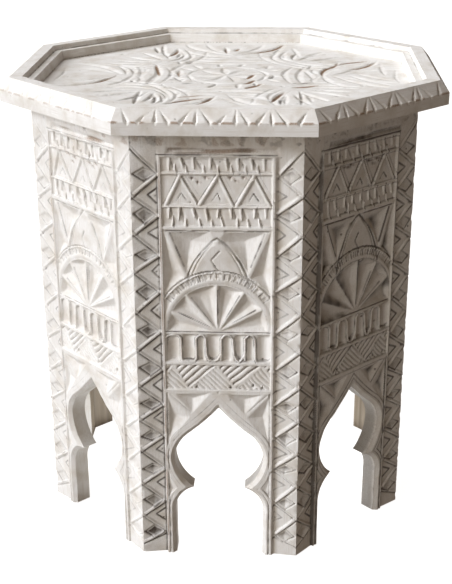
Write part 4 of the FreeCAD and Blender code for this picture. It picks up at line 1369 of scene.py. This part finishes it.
    def place(self, flat: Array) -> tuple[Array, Marks]:
        """Turns the sheet's places into the tray's."""
        x, y = flat[:, 0] * self.apothem, flat[:, 1] * self.apothem
        carved, marks = wear_and_shade_marks(self.carve, x, y, 31, (-207, 207, -207, 207))
        reach = np.max([np.abs(x), np.abs(y), np.abs(x + y) / math.sqrt(2), np.abs(x - y) / math.sqrt(2)], axis=0)
        carved = carved * ramp(-reach, -194, -191)
        below = flat[:, 2] < -0.5
        height = np.where(below, self.bottom, self.top - carved)
        marks["worn"] = np.clip(marks["worn"] * 1.25, 0, 1)
        marks["grain"] = np.stack((y, x, carved), axis=1)
        return np.stack((x, y, height), axis=1), marks


def add(tree: Tree, kind: str, inputs: dict[str | int, object] | None = None, **settings: object) -> bpy.types.Node:
    """Adds one shader node.

    Args:
        tree: The material's nodes.
        kind: The node's kind, without its ShaderNode.
        inputs: Its inputs by name or number: a socket is linked and a value is set.
        settings: Its own properties.

    Returns:
        The node.
    """
    made = tree.nodes.new(f"ShaderNode{kind}")
    for name, value in settings.items():
        setattr(made, name, value)
    for name, value in (inputs or {}).items():
        if isinstance(value, Socket):
            tree.links.new(value, made.inputs[name])
        else:
            made.inputs[name].default_value = value
    return made


def blank(name: str) -> tuple[bpy.types.Material, Tree]:
    """Makes a material and empties its nodes."""
    made = bpy.data.materials.new(name)
    made.use_nodes = True
    made.node_tree.nodes.clear()
    return made, made.node_tree


def noise(tree: Tree, place: Socket, scale: float, detail: float, roughness: float = 0.5) -> Socket:
    """Adds a noise of so many waves to each unit of the place."""
    inputs = {"Vector": place, "Scale": scale, "Detail": detail, "Roughness": roughness}
    return add(tree, "TexNoise", inputs).outputs["Fac"]


def spread(tree: Tree, value: Socket, low: float, high: float,
           least: float = 0.0, most: float = 1.0) -> Socket:
    """Stretches a value's part from low to high over least to most, and clips the rest."""
    inputs = {"Value": value, "From Min": low, "From Max": high, "To Min": least, "To Max": most}
    return add(tree, "MapRange", inputs).outputs["Result"]


def blend(tree: Tree, share: Socket, first: object, second: object) -> Socket:
    """Mixes two colours, each a socket or a value."""
    return add(tree, "Mix", {0: share, 6: first, 7: second}, data_type="RGBA").outputs[2]


def reckon(tree: Tree, operation: str, *values: object) -> Socket:
    """Adds one step of arithmetic."""
    return add(tree, "Math", dict(enumerate(values)), operation=operation).outputs[0]


def surfaced(tree: Tree, height: Socket, strength: float, distance: float, inputs: dict[str, object]) -> None:
    """Ends a material with its surface, roughened by a height whose full step is the distance in metres."""
    bump = add(tree, "Bump", {"Strength": strength, "Distance": distance, "Height": height}).outputs["Normal"]
    shader = add(tree, "BsdfPrincipled", {**inputs, "Normal": bump})
    add(tree, "OutputMaterial", {"Surface": shader.outputs["BSDF"]})


@dataclass(frozen=True)
class WornPaint:
    """Whitewashed mango wood: chalky matte paint, brown wood at the rubbed edges, dark dirt and painted shade in the
    cuts.
    """
    name: str = "chalk_paint_worn_to_wood"
    paint: str = "F1EFEB"
    thin_paint: str = "D8D1C6"
    wood: str = "AB8A68"
    dark_wood: str = "785A42"
    # Colour of the dirt, which also paints shade into cuts and hollows
    dirt: str = "4A3F35"
    roughness: float = 0.62

    def material(self) -> bpy.types.Material:
        """Makes the material."""
        made, tree = blank(self.name)
        # The attribute "grain" is in mm, so each scale counts waves in a mm
        grain = add(tree, "Attribute", attribute_name="grain").outputs["Vector"]
        worn = add(tree, "Attribute", attribute_name="worn").outputs["Fac"]
        dirty = add(tree, "Attribute", attribute_name="dirty").outputs["Fac"]
        # Fibres 1.6 mm apart and some 40 mm long, drawn twice as coarse as the wood's so that they show
        fibre_way = add(tree, "Mapping", {"Vector": grain, "Scale": (0.6, 0.025, 0.6)}).outputs["Vector"]
        fibres = noise(tree, fibre_way, 1.0, 5.0, 0.6)
        # Patches where the wash lies thin, some 25 mm wide
        wash = noise(tree, grain, 0.04, 4.0, 0.6)
        # Grains of chalk and dust, 1 mm
        grit = noise(tree, grain, 0.9, 3.0, 0.7)
        thinness = reckon(tree, "MAXIMUM", spread(tree, wash, 0.42, 0.72), spread(tree, fibres, 0.45, 0.75, most=0.7))
        coat = blend(tree, thinness, linear(self.paint), linear(self.thin_paint))
        timber = blend(tree, fibres, linear(self.wood), linear(self.dark_wood))
        rub = reckon(tree, "ADD", worn, reckon(tree, "MULTIPLY_ADD", grit, 0.9, -0.45))
        coat = blend(tree, spread(tree, rub, 0.35, 1.0), coat, timber)
        # Dirt and painted shade from the marks darken the paint toward the dirt colour
        darken = reckon(tree, "ADD", dirty, reckon(tree, "MULTIPLY_ADD", grit, 0.5, -0.25))
        coat = blend(tree, spread(tree, darken, 0.12, 0.95, most=0.92), coat, linear(self.dirt))
        high = reckon(tree, "MULTIPLY_ADD", fibres, 0.6, grit)
        look = {"Base Color": coat, "Roughness": self.roughness, "Specular IOR Level": 0.3}
        surfaced(tree, high, 0.35, 0.0003, look)
        return made


@dataclass(frozen=True)
class BareTimber:
    """Unpainted mango wood inside the table: soft streaks down the boards, matte, greyed by dust."""
    name: str = "bare_mango_wood"
    light: str = "BFB2A0"
    dark: str = "8E8272"
    dust: str = "C2BAAE"
    roughness: float = 0.75
    from_object: bool = False

    def material(self) -> bpy.types.Material:
        """Makes the material."""
        made, tree = blank(self.name)
        if self.from_object:
            place = add(tree, "TexCoord").outputs["Object"]
            # Object coordinates are in metres, so these count per metre: fibres 3 mm apart
            way = add(tree, "Mapping", {"Vector": place, "Scale": (330.0, 330.0, 60.0)}).outputs["Vector"]
        else:
            place = add(tree, "Attribute", attribute_name="grain").outputs["Vector"]
            # The attribute is in mm: streaks 5 mm apart and some 120 mm long
            way = add(tree, "Mapping", {"Vector": place, "Scale": (0.2, 0.008, 0.2)}).outputs["Vector"]
        streaks = noise(tree, way, 1.0, 5.0, 0.55)
        timber = blend(tree, spread(tree, streaks, 0.3, 0.7), linear(self.light), linear(self.dark))
        # Dust in patches about three times as wide as the streaks
        veil = spread(tree, noise(tree, way, 0.3, 2.0), 0.4, 0.7, most=0.6)
        timber = blend(tree, veil, timber, linear(self.dust))
        look = {"Base Color": timber, "Roughness": self.roughness, "Specular IOR Level": 0.25}
        surfaced(tree, streaks, 0.3, 0.0004, look)
        return made


@dataclass(frozen=True)
class CutIron:
    """Cut iron nails: dark, dull, with rust in patches."""
    name: str = "cut_iron_with_rust"
    iron: str = "4B4744"
    rust: str = "6B3F26"

    def material(self) -> bpy.types.Material:
        """Makes the material."""
        made, tree = blank(self.name)
        place = add(tree, "TexCoord").outputs["Object"]
        # Rust blooms some 2 mm wide
        bloom = noise(tree, place, 500.0, 4.0)
        share = spread(tree, bloom, 0.45, 0.6)
        colour = blend(tree, share, linear(self.iron), linear(self.rust))
        dull, metal = spread(tree, share, 0.0, 1.0, 0.45, 0.85), spread(tree, share, 0.0, 1.0, 1.0, 0.1)
        surfaced(tree, bloom, 0.4, 0.0003, {"Base Color": colour, "Roughness": dull, "Metallic": metal})
        return made


@dataclass
class Underside:
    """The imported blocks, battens and nails under the tray, which keep their shape and get their finish here."""
    wood: BareTimber = BareTimber(name="sawn_mango_wood", light="A98F70", dark="7A5F45", from_object=True)
    iron: CutIron = CutIron()

    def dress(self, nodes: dict[str, bpy.types.Object]) -> None:
        """Gives each node that stays its material."""
        wood, iron = self.wood.material(), self.iron.material()
        for name, node in nodes.items():
            if name.startswith(("corner_block", "batten")):
                finish = iron if name.endswith("nails") else wood
                if not node.material_slots:
                    node.data.materials.append(finish)
                for slot in node.material_slots:
                    slot.material = finish
                log.info("%s keeps its packed shape, in %s", name, finish.name)


@dataclass(frozen=True)
class Sun:
    """A far lamp.

    Attributes:
        name: Its name.
        way: Direction from the table to it.
        spread: How wide it looks, in degrees.
        power: Its strength.
        shade: Its colour.
    """
    name: str
    way: tuple[float, float, float]
    spread: float
    power: float
    shade: str


@dataclass
class Studio:
    """A pale floor and backdrop, soft light from the left and the photograph's camera. Lengths are in metres."""
    eye: tuple[float, float, float] = (0.06619, -1.26527, 0.74801)
    yaw: float = -0.05419
    pitch: float = 0.38988
    roll: float = -0.0051
    lens: float = 71.49
    sensor: float = 36.0
    sight: float = 50.0
    floor_shade: str = "F4F3F1"
    paper_shade: str = "6A6A68"
    paper_roughness: float = 0.9
    paper_glow: float = 1.12
    inside_glow: float = 1.5
    inside: float = 0.175
    floor_radius: float = 14.0
    floor_level: float = -0.0002
    wall_radius: float = 13.0
    wall_height: float = 9.0
    wall_foot: float = -0.5
    suns: tuple[Sun, ...] = (Sun("key", (-0.83, -0.40, 0.42), 24.0, 2.45, "EEF4FF"),
                             Sun("low", (-0.6, -0.8, 0.3), 50.0, 1.26, "FFFAF2"),
                             Sun("over", (-0.45, 0.35, 0.82), 50.0, 1.9, "FAFCFF"))
    room_shade: str = "FFD4AB"
    room_glow: float = 0.085

    def place_camera(self) -> None:
        """Sets the camera where the photograph was taken from."""
        camera = bpy.data.cameras.new("camera")
        camera.lens, camera.sensor_width, camera.clip_end = self.lens, self.sensor, self.sight
        view = linked("camera", camera)
        level = math.cos(self.pitch)
        ahead = Vector((math.sin(self.yaw) * level, math.cos(self.yaw) * level, -math.sin(self.pitch)))
        right = Vector((math.cos(self.yaw), -math.sin(self.yaw), 0))
        up = right.cross(ahead)
        rolled = right * math.cos(self.roll) + up * math.sin(self.roll)
        up = up * math.cos(self.roll) - right * math.sin(self.roll)
        turn = Matrix((rolled, up, -ahead)).transposed().to_4x4()
        view.matrix_world = Matrix.Translation(self.eye) @ turn
        bpy.context.scene.camera = view

    def paper(self, name: str, glow: float) -> bpy.types.Material:
        """Makes plain pale paper that glows a little of itself, so that it shows no shadow."""
        made = bpy.data.materials.new(name)
        made.use_nodes = True
        shader = made.node_tree.nodes["Principled BSDF"]
        shader.inputs["Base Color"].default_value = linear(self.paper_shade)
        shader.inputs["Roughness"].default_value = self.paper_roughness
        shader.inputs["Emission Color"].default_value = linear(self.floor_shade)
        shader.inputs["Emission Strength"].default_value = glow
        return made

    def lay(self, bm: bmesh.types.BMesh, name: str, level: float, paper: bpy.types.Material) -> bpy.types.Object:
        """Makes one piece of the studio, which is no part of the table."""
        piece = linked(name, meshed(bm, name))
        piece.location.z = level
        piece.data.materials.append(paper)
        return piece

    def lay_floor(self) -> None:
        """Lays a wide, plain pale floor; the part inside the legs throws light up into the table."""
        plain = self.paper("pale_paper_floor", self.paper_glow)
        bright = self.paper("pale_paper_floor_bright", self.inside_glow)
        disc = bmesh.new()
        bmesh.ops.create_circle(disc, cap_ends=True, segments=64, radius=self.inside)
        self.lay(disc, "floor_inside_legs", self.floor_level, bright)
        around = bmesh.new()
        for radius in (self.inside, self.floor_radius):
            bmesh.ops.create_circle(around, segments=64, radius=radius)
        bmesh.ops.bridge_loops(around, edges=list(around.edges))
        self.lay(around, "floor", self.floor_level, plain).visible_diffuse = False
        wall = bmesh.new()
        bmesh.ops.create_cone(wall, segments=96, radius1=self.wall_radius, radius2=self.wall_radius,
                              depth=self.wall_height)
        for face in wall.faces:
            face.smooth = True
        backdrop = self.lay(wall, "backdrop", self.wall_height / 2 + self.wall_foot, plain)
        backdrop.visible_diffuse = backdrop.visible_shadow = backdrop.visible_glossy = False

    def light(self) -> None:
        """Sets the soft key light from the left, a low one, one from behind above, and the dim warm room."""
        for sun in self.suns:
            lamp = bpy.data.lights.new(sun.name, "SUN")
            lamp.angle, lamp.energy, lamp.color = math.radians(sun.spread), sun.power, linear(sun.shade)[:3]
            holder = linked(sun.name, lamp)
            holder.matrix_world = Vector(sun.way).to_track_quat("Z", "Y").to_matrix().to_4x4()
        world = bpy.data.worlds.new("studio")
        world.use_nodes = True
        background = world.node_tree.nodes["Background"]
        background.inputs["Color"].default_value = linear(self.room_shade)
        background.inputs["Strength"].default_value = self.room_glow
        bpy.context.scene.world = world
        bpy.context.scene.view_settings.view_transform = "Standard"


def hand_over(piece: bpy.types.Object, node: str, finishes: Sequence[bpy.types.Material]) -> None:
    """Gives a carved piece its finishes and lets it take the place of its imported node.

    Args:
        piece: The piece, with its face in the first finish and its back in the second.
        node: The node's name.
        finishes: The two finishes.
    """
    for finish in finishes:
        piece.data.materials.append(finish)
    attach(piece, "root")
    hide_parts(node)
    log.info("%s: %d faces", piece.name, len(piece.data.polygons))


def main() -> None:
    """Builds and dresses the table."""
    logging.basicConfig(level=logging.INFO, format="%(message)s")
    studio = Studio()
    studio.place_camera()
    studio.lay_floor()
    studio.light()
    finishes = (WornPaint().material(), BareTimber(name="bare_mango_wood_inside").material())
    for index, side in enumerate(MADE_SIDES):
        board, rim = SideBoard(index, side).build(), RimMoulding(index, side).build()
        hand_over(board, f"side_board_{side.name}", finishes)
        hand_over(rim, f"rim_{side.name}", finishes)
    hand_over(TrayBoard().build(), "tray_board", finishes)
    Underside().dress(frame["nodes"])


if __name__ == "__main__":
    main()
